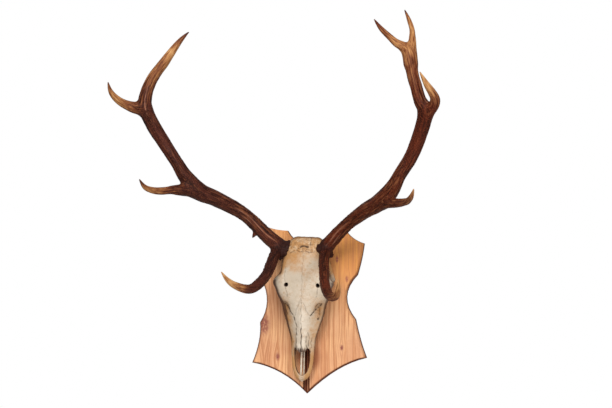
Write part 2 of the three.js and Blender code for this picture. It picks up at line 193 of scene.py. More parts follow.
RIGHT_ANTLER = {
    "main": [
        (55, -62, 158, 20), (86, -78, 188, 17.2), (125, -106, 221, 15.8), (176, -150, 251, 18.6),
        (217, -190, 269, 20.6), (240, -214, 284, 20.6), (258, -229, 303, 18.2), (274, -237, 330, 15.4),
        (300, -242, 369, 15.4), (320, -252, 410, 16.4), (340, -282, 474, 17), (329, -284, 499, 14.4),
        (321, -284, 528, 14), (313, -281, 556, 13.6), (307, -277, 590, 14.4), (300, -275, 614, 14.2),
        (287, -275, 628, 11), (274, -276, 636, 9.3), (259, -279, 650, 7.3), (240, -286, 669, 5.6),
        (225, -290, 690, 1.5),
    ],
    "brow": [
        (62, -76, 158, 13), (65, -100, 138, 13.4), (73, -140, 106, 12.4), (85, -185, 73, 11.8),
        (100, -222, 53, 11.2), (117, -252, 46, 10), (133, -276, 54, 8), (141, -298, 87, 1.8),
    ],
    "trez": [
        (227, -200, 270, 14.5), (254, -236, 267, 12), (276, -262, 265, 10.2), (291, -284, 265, 8.7),
        (302, -302, 267, 7.5), (314, -332, 275, 5.6), (322, -352, 290, 1.6),
    ],
    "front_crown": [
        (343, -282, 466, 12), (362, -296, 484, 12), (366, -306, 497, 11), (360, -318, 511, 9.5),
        (351, -330, 525, 7.4), (337, -348, 552, 1.6),
    ],
    "top_outer": [
        (307, -276, 587, 13), (308, -272, 614, 12), (310, -269, 635, 9.3), (310, -265, 653, 7.3),
        (309, -261, 668, 6.2), (301, -253, 693, 5), (290, -245, 719, 1.5),
    ],
}
# Paleness from brown at 0 to light tan at 1, below 0 darker still, by the share of each branch's length
LEFT_PALE = {
    "main": [
        (0, 0), (0.1, 0.05), (0.2, 0.1), (0.3, 0), (0.45, -0.08), (0.6, -0.08), (0.71, 0.02),
        (0.79, 0.30), (0.85, 0.50), (0.91, 0.80), (0.955, 0.45), (1, 0.05),
    ],
    "brow": [(0, -0.1), (0.3, -0.24), (0.6, -0.14), (0.68, 0.05), (0.76, 0.4), (0.86, 0.85), (1, 0.9)],
    "trez": [(0, 0), (0.35, 0.06), (0.6, 0.45), (0.85, 0.6), (0.95, 0.3), (1, 0.05)],
    "outer_crown": [(0, 0.03), (0.25, 0.3), (0.6, 0.65), (0.85, 0.65), (0.95, 0.3), (1, 0.05)],
    "spur": [(0, 0), (1, 0.05)],
}
RIGHT_PALE = {
    "main": [
        (0, 0), (0.2, 0.06), (0.38, 0.10), (0.46, 0), (0.52, -0.14), (0.66, -0.12), (0.72, 0.16),
        (0.79, 0.28), (0.855, 0.52), (0.91, 0.62), (0.955, 0.35), (1, 0.02),
    ],
    "brow": [(0, -0.1), (0.4, -0.12), (0.66, -0.05), (0.78, 0.22), (0.88, 0.52), (1, 0.85)],
    "trez": [(0, 0), (0.5, 0.15), (0.8, 0.4), (1, 0.7)],
    "front_crown": [(0, -0.1), (0.25, 0.12), (0.5, 0.55), (0.8, 0.9), (1, 0.7)],
    "top_outer": [(0, 0.35), (0.2, 0.58), (0.6, 0.72), (0.85, 0.5), (0.95, 0.15), (1, 0)],
}
# Pale ridges, worn and with a painted highlight along them: branch, start and end share of its length, and
# turn from the front in radians
LEFT_RIDGES = [("main", 0.04, 0.26, 0.15), ("main", 0.14, 0.22, -0.4), ("main", 0.68, 0.86, 0.1)]
RIGHT_RIDGES = [("main", 0.02, 0.18, -0.2), ("main", 0.04, 0.12, 0.4), ("main", 0.65, 0.78, 0.6)]
RIDGE_RISE = 0.9
RIDGE_WIDTH = 1.15
GRAIN_STRETCH = 0.11
BRANCH_SHIFT = 37.0
BURR_RING = 19.5
BURR_THICKNESS = 8
BURR_KNOBS = 26
BURR_REACH = 45
KNOB_REACH = 16
# Depth and scale of the relief on each kind of surface
ANTLER_RELIEF = {
    "Ridge Depth": 0.75 * MM, "Ridge Scale": 170.0,
    "Pearl Depth": 1.1 * MM, "Pearl Scale": 165.0,
}
BONE_RELIEF = {
    "Ridge Depth": 0.5 * MM, "Ridge Scale": 95.0,
    "Pearl Depth": 0.0, "Pearl Scale": 150.0,
}
BONE_SEED = 3.0

# Colours: linear red, green and blue, with full cover
LEFT_TONES = {
    "dark": (0.016, 0.0040, 0.0027, 1),
    "brown": (0.046, 0.0112, 0.0070, 1),
    "speckle": (0.098, 0.027, 0.014, 1),
    "worn": (0.135, 0.042, 0.022, 1),
}
RIGHT_TONES = {
    "dark": (0.018, 0.0034, 0.0017, 1),
    "brown": (0.060, 0.0104, 0.0041, 1),
    "speckle": (0.130, 0.028, 0.010, 1),
    "worn": (0.155, 0.039, 0.015, 1),
}
ANTLER_TONES = {
    "furrow": (0.009, 0.0026, 0.0017, 1),
    # pale ridge lines: wear and a painted highlight
    "worn_ridge_highlight": (0.33, 0.145, 0.090, 1),
    "darkest": (0.017, 0.0065, 0.0052, 1),
    "russet": (0.145, 0.047, 0.018, 1),
    "tan": (0.33, 0.152, 0.054, 1),
    "point": (0.47, 0.285, 0.125, 1),
}
BONE_TONES = {
    "ivory": (0.445, 0.366, 0.277, 1),
    "pale_ivory": (0.535, 0.454, 0.360, 1),
    "nose_middle_ivory": (0.555, 0.472, 0.378, 1),
    "mottle": (0.40, 0.315, 0.225, 1),
    # stain, also used for painted shade on the temples and in the tear pits
    "stain_and_shade": (0.370, 0.190, 0.074, 1),
    "hair_line": (0.22, 0.12, 0.06, 1),
    "crown_patch": (0.58, 0.44, 0.29, 1),
    "seam": (0.13, 0.068, 0.033, 1),
    "speck": (0.30, 0.18, 0.09, 1),
    "shade": (0.060, 0.022, 0.011, 1),
    # dark cracks, also painted shade inside the brow holes
    "crack_and_hole_shade": (0.028, 0.015, 0.010, 1),
}
WOOD_TONES = {
    "orange": (0.585, 0.295, 0.156, 1),
    "pale_orange": (0.690, 0.382, 0.194, 1),
    "golden": (0.555, 0.237, 0.067, 1),
    "late_ring": (0.44, 0.170, 0.066, 1),
    "fibre": (0.35, 0.130, 0.055, 1),
    "knot": (0.23, 0.070, 0.055, 1),
    # painted shadow behind the nose opening
    "shadow_behind_nose": (0.23, 0.068, 0.028, 1),
    # dark stain of the carved edges, also painted shade on the lower edges
    "burnt_and_shaded": (0.050, 0.009, 0.003, 1),
    "burnt_and_shaded_fibre": (0.110, 0.027, 0.010, 1),
}
STEEL_TONES = {"dull": (0.46, 0.46, 0.45, 1), "bright": (0.66, 0.66, 0.67, 1)}
FLOOR_TONES = {"grey": (0.80, 0.80, 0.80, 1), "pale_grey": (0.83, 0.83, 0.83, 1)}
WHITE = (1, 1, 1, 1)


# Curves and blocks of distances

def ramp(value, low, high):
    """Rises smoothly from 0 to 1 between two limits."""
    share = np.clip((value - low) / (high - low), 0, 1)
    return share * share * (3 - 2 * share)


def spot(first, second, middle, size):
    """A soft spot: 1 at its middle, fading out over its size in two directions."""
    return np.exp(-(((first - middle[0]) / size[0]) ** 2) - ((second - middle[1]) / size[1]) ** 2)


def smooth_rows(points, spacing):
    """Rows of x, y, z, radius at an even spacing on a smooth curve through the points."""
    points = np.array(points, dtype=float)
    chord = np.sqrt(np.linalg.norm(np.diff(points[:, :3], axis=0), axis=1))
    knot = np.concatenate([[0], np.cumsum(chord)])
    slope = np.diff(points, axis=0) / chord[:, None]
    before = chord[:-1, None]
    after = chord[1:, None]
    bend = np.empty_like(points)
    bend[1:-1] = (slope[:-1] * after + slope[1:] * before) / (after + before)
    bend[0] = 1.5 * slope[0] - 0.5 * bend[1]
    bend[-1] = 1.5 * slope[-1] - 0.5 * bend[-2]
    fine = np.linspace(0, knot[-1], 40 * len(chord))
    part = np.clip(np.searchsorted(knot, fine, side="right") - 1, 0, len(chord) - 1)
    share = ((fine - knot[part]) / chord[part])[:, None]
    span = chord[part][:, None]
    rows = (
        (2 * share**3 - 3 * share**2 + 1) * points[part]
        + (share**3 - 2 * share**2 + share) * span * bend[part]
        + (3 * share**2 - 2 * share**3) * points[part + 1]
        + (share**3 - share**2) * span * bend[part + 1]
    )
    length = np.concatenate([[0], np.cumsum(np.linalg.norm(np.diff(rows[:, :3], axis=0), axis=1))])
    count = max(4, int(length[-1] / spacing))
    even = np.linspace(0, length[-1], count)
    return np.stack([np.interp(even, length, rows[:, axis]) for axis in range(4)], axis=1)


class Block:
    """Signed distances in millimetres on an even grid, below zero inside the shape."""

    def __init__(self, low, high, step):
        self.low = np.array(low, dtype=float)
        self.step = step
        counts = np.ceil((np.array(high) - self.low) / step).astype(int) + 1
        self.values = np.full(counts, FAR, dtype=np.float32)

    def window(self, low, high):
        """The slices of the grid between two corners, and the coordinates of their points."""
        first = np.maximum(np.floor((np.array(low) - self.low) / self.step).astype(int), 0)
        last = np.ceil((np.array(high) - self.low) / self.step).astype(int) + 1
        last = np.minimum(last, self.values.shape)
        slices = tuple(slice(a, b) for a, b in zip(first, last))
        axes = [self.low[i] + self.step * np.arange(first[i], last[i], dtype=np.float32) for i in range(3)]
        return slices, np.meshgrid(*axes, indexing="ij", sparse=True)

    def join(self, distances, slices, fillet):
        """Adds a shape, filleted where the two meet."""
        self.values[slices] = soft_min(self.values[slices], distances, fillet)

    def cut(self, distances, slices, fillet):
        """Takes a shape away, with its edge rounded."""
        self.values[slices] = -soft_min(-self.values[slices], distances, fillet)

    def sample(self, places):
        """Distances at any places, and their slopes."""
        at = (places - self.low) / self.step
        base = np.clip(np.floor(at).astype(int), 0, np.array(self.values.shape) - 2)
        share = at - base
        value = np.zeros(len(places))
        slope = np.zeros((len(places), 3))
        for corner in np.ndindex(2, 2, 2):
            weights = [share[:, i] if corner[i] else 1 - share[:, i] for i in range(3)]
            found = self.values[tuple(base[:, i] + corner[i] for i in range(3))]
            value += found * weights[0] * weights[1] * weights[2]
            for axis in range(3):
                others = [weights[i] for i in range(3) if i != axis]
                slope[:, axis] += found * others[0] * others[1] * (1 if corner[axis] else -1)
        return value, slope / self.step

    def normals(self, places):
        """Directions straight out of the surface."""
        slope = self.sample(places)[1]
        return slope / np.maximum(np.linalg.norm(slope, axis=1), 1e-6)[:, None]

    def cell_points(self, cells):
        """One point in each cell, in the middle of the places where the surface crosses its edges."""
        unit = np.eye(3, dtype=int)
        total = np.zeros((len(cells), 3))
        hits = np.zeros(len(cells))
        for axis in range(3):
            side, up = (axis + 1) % 3, (axis + 2) % 3
            for a, b in np.ndindex(2, 2):
                start = cells + a * unit[side] + b * unit[up]
                one = self.values[tuple(start.T)]
                two = self.values[tuple((start + unit[axis]).T)]
                hit = (one < 0) != (two < 0)
                share = np.where(hit, one / np.where(hit, one - two, 1), 0)
                total[hit] += (start + share[:, None] * unit[axis])[hit]
                hits += hit
        return self.low + self.step * total / hits[:, None]

    def skin(self):
        """Points and four-sided faces on the surface where the distance is zero."""
        inside = self.values < 0
        size = np.array(inside.shape) - 1
        filled = np.zeros(size, dtype=np.uint8)
        for corner in np.ndindex(2, 2, 2):
            filled += inside[tuple(slice(corner[i], corner[i] + size[i]) for i in range(3))]
        crossed = (filled > 0) & (filled < 8)
        cells = np.argwhere(crossed)
        number = np.full(size, -1, dtype=np.int32)
        number[crossed] = np.arange(len(cells))
        faces = [crossing_faces(inside, number, axis) for axis in range(3)]
        return self.cell_points(cells), np.concatenate(faces)


def crossing_faces(inside, number, axis):
    """A four-sided face round each grid edge along one axis that crosses the surface."""
    unit = np.eye(3, dtype=int)
    size = number.shape
    side, up = (axis + 1) % 3, (axis + 2) % 3
    before = inside[tuple(slice(0, -1) if i == axis else slice(None) for i in range(3))]
    after = inside[tuple(slice(1, None) if i == axis else slice(None) for i in range(3))]
    edges = np.argwhere(before != after)
    edges = edges[(edges[:, side] > 0) & (edges[:, up] > 0)]
    edges = edges[(edges[:, side] < size[side]) & (edges[:, up] < size[up])]
    ring = [-unit[side] - unit[up], -unit[up], 0 * unit[up], -unit[side]]
    quads = np.stack([number[tuple((edges + offset).T)] for offset in ring], axis=1)
    outward = before[tuple(edges.T)]
    return np.where(outward[:, None], quads, quads[:, ::-1])


def soft_min(a, b, fillet):
    """The smaller of two distances, rounded where they meet."""
    near = np.maximum(fillet - np.abs(a - b), 0) / fillet
    return np.minimum(a, b) - near * near * fillet * 0.25


def even_out(places, faces, block, rounds):
    """Spreads surface points evenly and sets them back on the surface."""
    edges = np.concatenate([faces[:, [i, (i + 1) % 4]] for i in range(4)])
    for _ in range(rounds):
        total = np.zeros_like(places)
        count = np.zeros(len(places))
        for a, b in ((0, 1), (1, 0)):
            for axis in range(3):
                total[:, axis] += np.bincount(edges[:, a], places[edges[:, b], axis], len(places))
            count += np.bincount(edges[:, a], minlength=len(places))
        places = 0.5 * places + 0.5 * total / count[:, None]
        for _ in range(2):
            value, slope = block.sample(places)
            places = places - slope * (value / np.maximum((slope**2).sum(axis=1), 0.2))[:, None]
    return places


def segment_distance(grid, start, end):
    """Distance to a tapered rod between two x, y, z, radius ends."""
    along = [end[i] - start[i] for i in range(3)]
    length = sum(a * a for a in along)
    away = [grid[i] - np.float32(start[i]) for i in range(3)]
    share = np.clip(sum(away[i] * along[i] for i in range(3)) / length, 0, 1)
    apart = sum((away[i] - share * along[i]) ** 2 for i in range(3))
    return np.sqrt(apart) - (start[3] + share * (end[3] - start[3]))


def ball_distance(grid, centre, radii):
    """Rough distance to a ball with three radii."""
    form = np.sqrt(sum(((grid[i] - centre[i]) / radii[i]) ** 2 for i in range(3)))
    return (form - 1) * min(radii)


def ring_distance(grid, centre, axis, ring, thickness):
    """Distance to a ring round an axis."""
    away = [grid[i] - centre[i] for i in range(3)]
    along = sum(away[i] * axis[i] for i in range(3))
    across = np.sqrt(np.maximum(sum(a * a for a in away) - along**2, 0))
    return np.sqrt((across - ring) ** 2 + along**2) - thickness


# Objects

def add_object(name, data):
    """A new object at the origin of the scene."""
    piece = bpy.data.objects.new(name, data)
    bpy.context.scene.collection.objects.link(piece)
    return piece


def new_mesh_object(name, places, faces, attributes):
    """A smooth mesh from points in millimetres with named values on its points."""
    mesh = bpy.data.meshes.new(name)
    mesh.from_pydata((places * MM).tolist(), [], faces.tolist())
    for label, values in attributes.items():
        kind = "FLOAT_VECTOR" if values.ndim == 2 else "FLOAT"
        layer = mesh.attributes.new(label, kind, "POINT")
        layer.data.foreach_set("vector" if values.ndim == 2 else "value", values.astype(np.float32).ravel())
    mesh.polygons.foreach_set("use_smooth", np.ones(len(mesh.polygons), dtype=bool))
    mesh.validate()
    mesh.update()
    return add_object(name, mesh)


# Node trees

def add_node(tree, kind, inputs=None, **settings):
    """A node with its settings, and each input either set to a value or linked to a socket."""
    node = tree.nodes.new(kind)
    for name, value in settings.items():
        setattr(node, name, value)
    for name, value in (inputs or {}).items():
        socket = node.inputs[name]
        if isinstance(value, bpy.types.NodeSocket):
            tree.links.new(value, socket)
        else:
            socket.default_value = value
    return node


def add_math(tree, operation, *values):
    """The result of a calculation on numbers or sockets."""
    return add_node(tree, "ShaderNodeMath", dict(enumerate(values)), operation=operation).outputs[0]


def add_mix(tree, share, first, second):
    """A colour between two colours."""
    node = add_node(tree, "ShaderNodeMix", {0: share, 6: first, 7: second}, data_type="RGBA")
    return node.outputs[2]


def add_noise(tree, vector, scale, detail=3.0, roughness=0.5):
    """A cloudy noise about a middle value of 0.5."""
    inputs = {"Vector": vector, "Scale": scale, "Detail": detail, "Roughness": roughness}
    return add_node(tree, "ShaderNodeTexNoise", inputs).outputs[0]


def add_range(tree, value, low, high, new_low=0.0, new_high=1.0):
    """A value carried smoothly from one range to another."""
    inputs = {0: value, 1: low, 2: high, 3: new_low, 4: new_high}
    return add_node(tree, "ShaderNodeMapRange", inputs, interpolation_type="SMOOTHSTEP").outputs[0]


def add_swing(tree, noise, amount, base):
    """A value that swings about a base with a noise."""
    return add_math(tree, "MULTIPLY_ADD", add_math(tree, "SUBTRACT", noise, 0.5), amount, base)


def add_veins(tree, noise, width, strength):
    """Thin winding lines where a noise passes its middle value."""
    apart = add_math(tree, "ABSOLUTE", add_math(tree, "SUBTRACT", noise, 0.5))
    return add_range(tree, apart, 0.0, width, strength, 0.0)


def read_attribute(tree, name, output="Fac"):
    """A named value of the mesh, in a material."""
    return add_node(tree, "ShaderNodeAttribute", attribute_name=name).outputs[output]


def new_material(name):
    """A material with a cleared tree, and its tree, shader and object coordinates."""
    material = bpy.data.materials.new(name)
    material.use_nodes = True
    tree = material.node_tree
    tree.nodes.clear()
    shader = add_node(tree, "ShaderNodeBsdfPrincipled")
    add_node(tree, "ShaderNodeOutputMaterial", {"Surface": shader.outputs[0]})
    coordinates = add_node(tree, "ShaderNodeTexCoord").outputs["Object"]
    return material, tree, shader, coordinates


def add_bump(tree, shader, height, distance, strength):
    """Fine relief from a height, in a material."""
    bump = add_node(tree, "ShaderNodeBump", {"Height": height, "Distance": distance, "Strength": strength})
    tree.links.new(bump.outputs[0], shader.inputs["Normal"])


# Materials

def antler_brown(tree, place, grain, streak, tones):
    """Brown along the grain with light speckles, worn ridges, dark furrows and pale ridge lines that are
    partly wear and partly a painted highlight.
    """
    broad = add_noise(tree, grain, 70.0, 3.0)
    brown = add_mix(tree, add_range(tree, broad, 0.35, 0.65), tones["dark"], tones["brown"])
    speckle = add_range(tree, add_noise(tree, place, 390.0, 2.0, 0.6), 0.50, 0.60, 0.0, 0.65)
    brown = add_mix(tree, speckle, brown, tones["speckle"])
    raised = add_range(tree, read_attribute(tree, "ridge"), 0.1, 0.9)
    worn = add_math(tree, "MULTIPLY", raised, add_range(tree, streak, 0.47, 0.60, 0.0, 0.42))
    brown = add_mix(tree, worn, brown, tones["worn"])
    furrow = add_range(tree, add_noise(tree, grain, 210.0, 3.0, 0.6), 0.38, 0.47, 0.65, 0.0)
    brown = add_mix(tree, furrow, brown, ANTLER_TONES["furrow"])
    # Pale ridge lines, partly wear and partly a painted highlight
    rubbed_and_lit = add_range(tree, streak, 0.36, 0.52, 0.15, 0.8)
    worn_ridge_highlight = add_math(tree, "MULTIPLY", read_attribute(tree, "line"), rubbed_and_lit)
    return add_mix(tree, worn_ridge_highlight, brown, ANTLER_TONES["worn_ridge_highlight"])


def antler_finish(name, tones):
    """Brown antler with long pale and dark streaks, worn pale on its ridges and towards its points, with a
    painted highlight along a few ridges.
    """
    material, tree, shader, place = new_material(name)
    grain = read_attribute(tree, "grain", "Vector")
    pale = read_attribute(tree, "pale")
    streak = add_noise(tree, grain, 300.0, 4.0, 0.6)
    brown = antler_brown(tree, place, grain, streak, tones)
    brown = add_mix(tree, add_range(tree, pale, -0.6, 0.0, 0.75, 0.0), brown, ANTLER_TONES["darkest"])
    uneven = add_swing(tree, streak, 2.0, pale)
    russet = add_mix(tree, add_range(tree, uneven, 0.0, 0.5), brown, ANTLER_TONES["russet"])
    tan = add_mix(tree, add_range(tree, uneven, 0.35, 0.85), russet, ANTLER_TONES["tan"])
    colour = add_mix(tree, add_range(tree, uneven, 0.75, 1.2), tan, ANTLER_TONES["point"])
    tree.links.new(colour, shader.inputs["Base Color"])
    tree.links.new(add_range(tree, streak, 0.3, 0.7, 0.42, 0.60), shader.inputs["Roughness"])
    shader.inputs["Specular IOR Level"].default_value = 0.06
    add_bump(tree, shader, streak, 1.0 * MM, 0.8)
    return material


def clean_bone(tree, place, broad):
    """Clouded ivory, paler down the middle of the nose and mottled all over."""
    cloud = add_range(tree, broad, 0.35, 0.7)
    ivory = add_mix(tree, cloud, BONE_TONES["ivory"], BONE_TONES["pale_ivory"])
    ivory = add_mix(tree, read_attribute(tree, "paler_nose_middle"), ivory, BONE_TONES["nose_middle_ivory"])
    mottle = add_range(tree, add_noise(tree, place, 75.0, 4.0, 0.65), 0.45, 0.68, 0.0, 0.55)
    return add_mix(tree, mottle, ivory, BONE_TONES["mottle"])


def bone_lines(tree, place, broad, colour):
    """Hair lines in patches, pale patches on the crown and dark seams where the bone is veined."""
    hair = add_veins(tree, add_noise(tree, place, 70.0, 4.0, 0.6), 0.012, 0.55)
    hair = add_math(tree, "MULTIPLY", hair, add_range(tree, broad, 0.45, 0.6))
    colour = add_mix(tree, hair, colour, BONE_TONES["hair_line"])
    patch = add_range(tree, add_noise(tree, place, 95.0, 3.0, 0.6), 0.50, 0.60, 0.0, 0.42)
    patch = add_math(tree, "MULTIPLY", read_attribute(tree, "crown"), patch)
    colour = add_mix(tree, patch, colour, BONE_TONES["crown_patch"])
    seam = add_veins(tree, add_noise(tree, place, 85.0, 3.0, 0.6), 0.035, 0.7)
    seam = add_math(tree, "MULTIPLY", read_attribute(tree, "veined"), seam)
    return add_mix(tree, seam, colour, BONE_TONES["seam"])


def bone_finish():
    """Ivory bone, stained yellow-brown over the brow and on its flanks, dark in its cracks, with painted
    shade on its steep sides and edges, in its sockets, pits and brow holes and on its temples.
    """
    material, tree, shader, place = new_material("bone")
    broad = add_noise(tree, place, 26.0, 4.0, 0.6)
    fine = add_noise(tree, place, 160.0, 5.0, 0.65)
    # stain with painted shade on the temples and in the tear pits, broken up by noise
    patchy = add_swing(tree, broad, 1.9, read_attribute(tree, "stain_and_shade"))
    patchy = add_swing(tree, fine, 0.9, patchy)
    ivory = clean_bone(tree, place, broad)
    colour = add_mix(tree, add_range(tree, patchy, -0.1, 1.1), ivory, BONE_TONES["stain_and_shade"])
    colour = bone_lines(tree, place, broad, colour)
    colour = add_mix(tree, add_range(tree, fine, 0.60, 0.72, 0.0, 0.5), colour, BONE_TONES["speck"])
    # Painted shade, then the cracks with painted shade in the brow holes
    for mark in ("shade", "crack_and_hole_shade"):
        colour = add_mix(tree, read_attribute(tree, mark), colour, BONE_TONES[mark])
    tree.links.new(colour, shader.inputs["Base Color"])
    shader.inputs["Roughness"].default_value = 0.6
    shader.inputs["Specular IOR Level"].default_value = 0.1
    add_bump(tree, shader, fine, 1.2 * MM, 0.5)
    return material


def knot_nodes(tree, x, z):
    """How close a place is to any knot, and how far the grain bends aside there."""
    knotted = 0.0
    pull = 0.0
    for knot_x, knot_z, radius in KNOTS:
        size = radius * MM
        dx = add_math(tree, "SUBTRACT", x, knot_x * MM)
        dz = add_math(tree, "MULTIPLY", add_math(tree, "SUBTRACT", z, knot_z * MM), 0.6)
        squares = add_math(tree, "MULTIPLY_ADD", dx, dx, add_math(tree, "MULTIPLY", dz, dz))
        apart = add_math(tree, "SQRT", squares)
        knotted = add_math(tree, "ADD", knotted, add_range(tree, apart, 0.2 * size, 1.1 * size, 1.0, 0.0))
        near = add_range(tree, apart, 0.0, 4.5 * size, 1.0, 0.0)
        side = add_math(tree, "MULTIPLY", add_math(tree, "MULTIPLY", near, near), add_math(tree, "SIGN", dx))
        pull = add_math(tree, "MULTIPLY_ADD", side, -0.8 * size, pull)
    return knotted, pull


def wood_grain(tree, place, across, y, z):
    """Late rings and fine fibres that run up the shield with a slight sway."""
    swayed = add_swing(tree, add_noise(tree, place, 5.0, 1.0), 8 * MM, across)
    stretched = {0: swayed, 1: y, 2: add_math(tree, "MULTIPLY", z, 0.02)}
    along_grain = add_node(tree, "ShaderNodeCombineXYZ", stretched).outputs[0]
    return add_noise(tree, along_grain, 190.0, 2.0, 0.5), add_noise(tree, along_grain, 430.0, 3.0, 0.6)


def wood_tone(tree, place, x, z):
    """Clouded orange softwood, golden towards the upper right."""
    cloud = add_noise(tree, place, 11.0, 3.0)
    corner = add_math(tree, "MULTIPLY_ADD", x, 0.8, z)
    golden = add_range(tree, add_math(tree, "MULTIPLY_ADD", cloud, 0.10, corner), 0.10, 0.27)
    tone = add_mix(tree, add_range(tree, cloud, 0.35, 0.65), WOOD_TONES["orange"], WOOD_TONES["pale_orange"])
    return add_mix(tree, golden, tone, WOOD_TONES["golden"])


def nose_shadow_patch(tree, place, y):
    """A painted shadow on the front of the shield behind the nose opening."""
    nose = tuple(size * MM for size in NOSE_SHADOW_MIDDLE)
    apart = add_node(tree, "ShaderNodeVectorMath", {0: place, 1: nose}, operation="DISTANCE").outputs["Value"]
    near = add_range(tree, apart, 20 * MM, 45 * MM, 0.75, 0.0)
    return add_math(tree, "MULTIPLY", near, add_range(tree, y, -19 * MM, -15 * MM, 1.0, 0.0))


def carved_edges(tree, x, y):
    """The dark stain in the grooves, on the walls and along the border, but not on the back, with the border
    darker on its lower edges as painted shade.
    """
    beside = add_math(tree, "ABSOLUTE", add_math(tree, "SUBTRACT", x, GROOVE_MIDDLE * MM))
    middle = add_range(tree, beside, 12 * MM, 13 * MM, 1.0, 0.0)
    grooved = add_math(tree, "MULTIPLY", middle, add_range(tree, y, -19.9 * MM, -19 * MM))
    walls = add_range(tree, y, -16.8 * MM, -16.2 * MM)
    rim = add_math(tree, "MAXIMUM", grooved, walls)
    # The border adds painted shade along the lower and side edges
    rim = add_math(tree, "MAXIMUM", rim, read_attribute(tree, "stained_and_shaded_border"))
    return add_math(tree, "MULTIPLY", rim, add_range(tree, y, -3 * MM, -1.2 * MM, 1.0, 0.0))


def wood_finish():
    """Oiled softwood with fine upright grain, knots, and a dark stain on carved edges and grooves, with
    painted shade on the lower edges and a painted shadow behind the nose opening.
    """
    material, tree, shader, place = new_material("shield_wood")
    x, y, z = add_node(tree, "ShaderNodeSeparateXYZ", {0: place}).outputs
    knotted, pull = knot_nodes(tree, x, z)
    rings, fibre = wood_grain(tree, place, add_math(tree, "ADD", x, pull), y, z)
    colour = wood_tone(tree, place, x, z)
    colour = add_mix(tree, add_range(tree, rings, 0.45, 0.60, 0.0, 0.45), colour, WOOD_TONES["late_ring"])
    colour = add_mix(tree, add_range(tree, fibre, 0.48, 0.60, 0.0, 0.6), colour, WOOD_TONES["fibre"])
    mottle = add_range(tree, add_noise(tree, place, 160.0, 2.0), 0.25, 0.6, 0.3, 1.0)
    colour = add_mix(tree, add_math(tree, "MULTIPLY", knotted, mottle), colour, WOOD_TONES["knot"])
    # Painted shadow behind the nose opening
    colour = add_mix(tree, nose_shadow_patch(tree, place, y), colour, WOOD_TONES["shadow_behind_nose"])
    burnt_and_shaded = add_mix(tree, add_range(tree, fibre, 0.40, 0.62), WOOD_TONES["burnt_and_shaded"], WOOD_TONES["burnt_and_shaded_fibre"])
    colour = add_mix(tree, carved_edges(tree, x, y), colour, burnt_and_shaded)
    tree.links.new(colour, shader.inputs["Base Color"])
    shader.inputs["Roughness"].default_value = 0.5
    shader.inputs["Specular IOR Level"].default_value = 0.1
    add_bump(tree, shader, add_math(tree, "MULTIPLY_ADD", fibre, 0.6, rings), 0.4 * MM, 0.5)
    return material


def steel_finish():
    """Zinc-plated steel, faintly brushed and dulled."""
    material, tree, shader, place = new_material("zinc_steel")
    long = add_node(tree, "ShaderNodeMapping", {"Vector": place, "Scale": (1.0, 1.0, 0.08)}).outputs[0]
    brushed = add_noise(tree, long, 1400.0, 3.0)
    cloud = add_noise(tree, place, 120.0, 3.0)
    colour = add_mix(tree, cloud, STEEL_TONES["dull"], STEEL_TONES["bright"])
    tree.links.new(colour, shader.inputs["Base Color"])
    shader.inputs["Metallic"].default_value = 1.0
    tree.links.new(add_range(tree, brushed, 0.3, 0.7, 0.28, 0.46), shader.inputs["Roughness"])
    add_bump(tree, shader, brushed, 0.2 * MM, 0.4)
    return material


# Geometry trees

def named_values(tree, name, kind="FLOAT"):
    """A named value of the mesh, in a geometry tree."""
    return add_node(tree, "GeometryNodeInputNamedAttribute", {"Name": name}, data_type=kind).outputs[0]


def ridge_values(tree, given):
    """Ridges and furrows along the grain, from 1 to -1 where the surface is fully ridged."""
    inputs = {
        "Vector": named_values(tree, "grain", "FLOAT_VECTOR"),
        "W": given["Seed"], "Scale": given["Ridge Scale"], "Detail": 2.0,
    }
    noise = add_node(tree, "ShaderNodeTexNoise", inputs, noise_dimensions="4D").outputs[0]
    ridge = add_range(tree, noise, 0.30, 0.70, -1.0, 1.0)
    return add_math(tree, "MULTIPLY", ridge, named_values(tree, "ridged"))


def pearl_values(tree, given):
    """Small round pearls, up to 1 where the surface is fully pearled."""
    inputs = {
        "Vector": add_node(tree, "GeometryNodeInputPosition").outputs[0],
        "W": given["Seed"], "Scale": given["Pearl Scale"], "Smoothness": 0.3,
    }
    settings = {"voronoi_dimensions": "4D", "feature": "SMOOTH_F1"}
    cell = add_node(tree, "ShaderNodeTexVoronoi", inputs, **settings).outputs["Distance"]
    pearl = add_range(tree, cell, 0.15, 0.62, 1.0, 0.0)
    return add_math(tree, "MULTIPLY", pearl, named_values(tree, "pearled"))


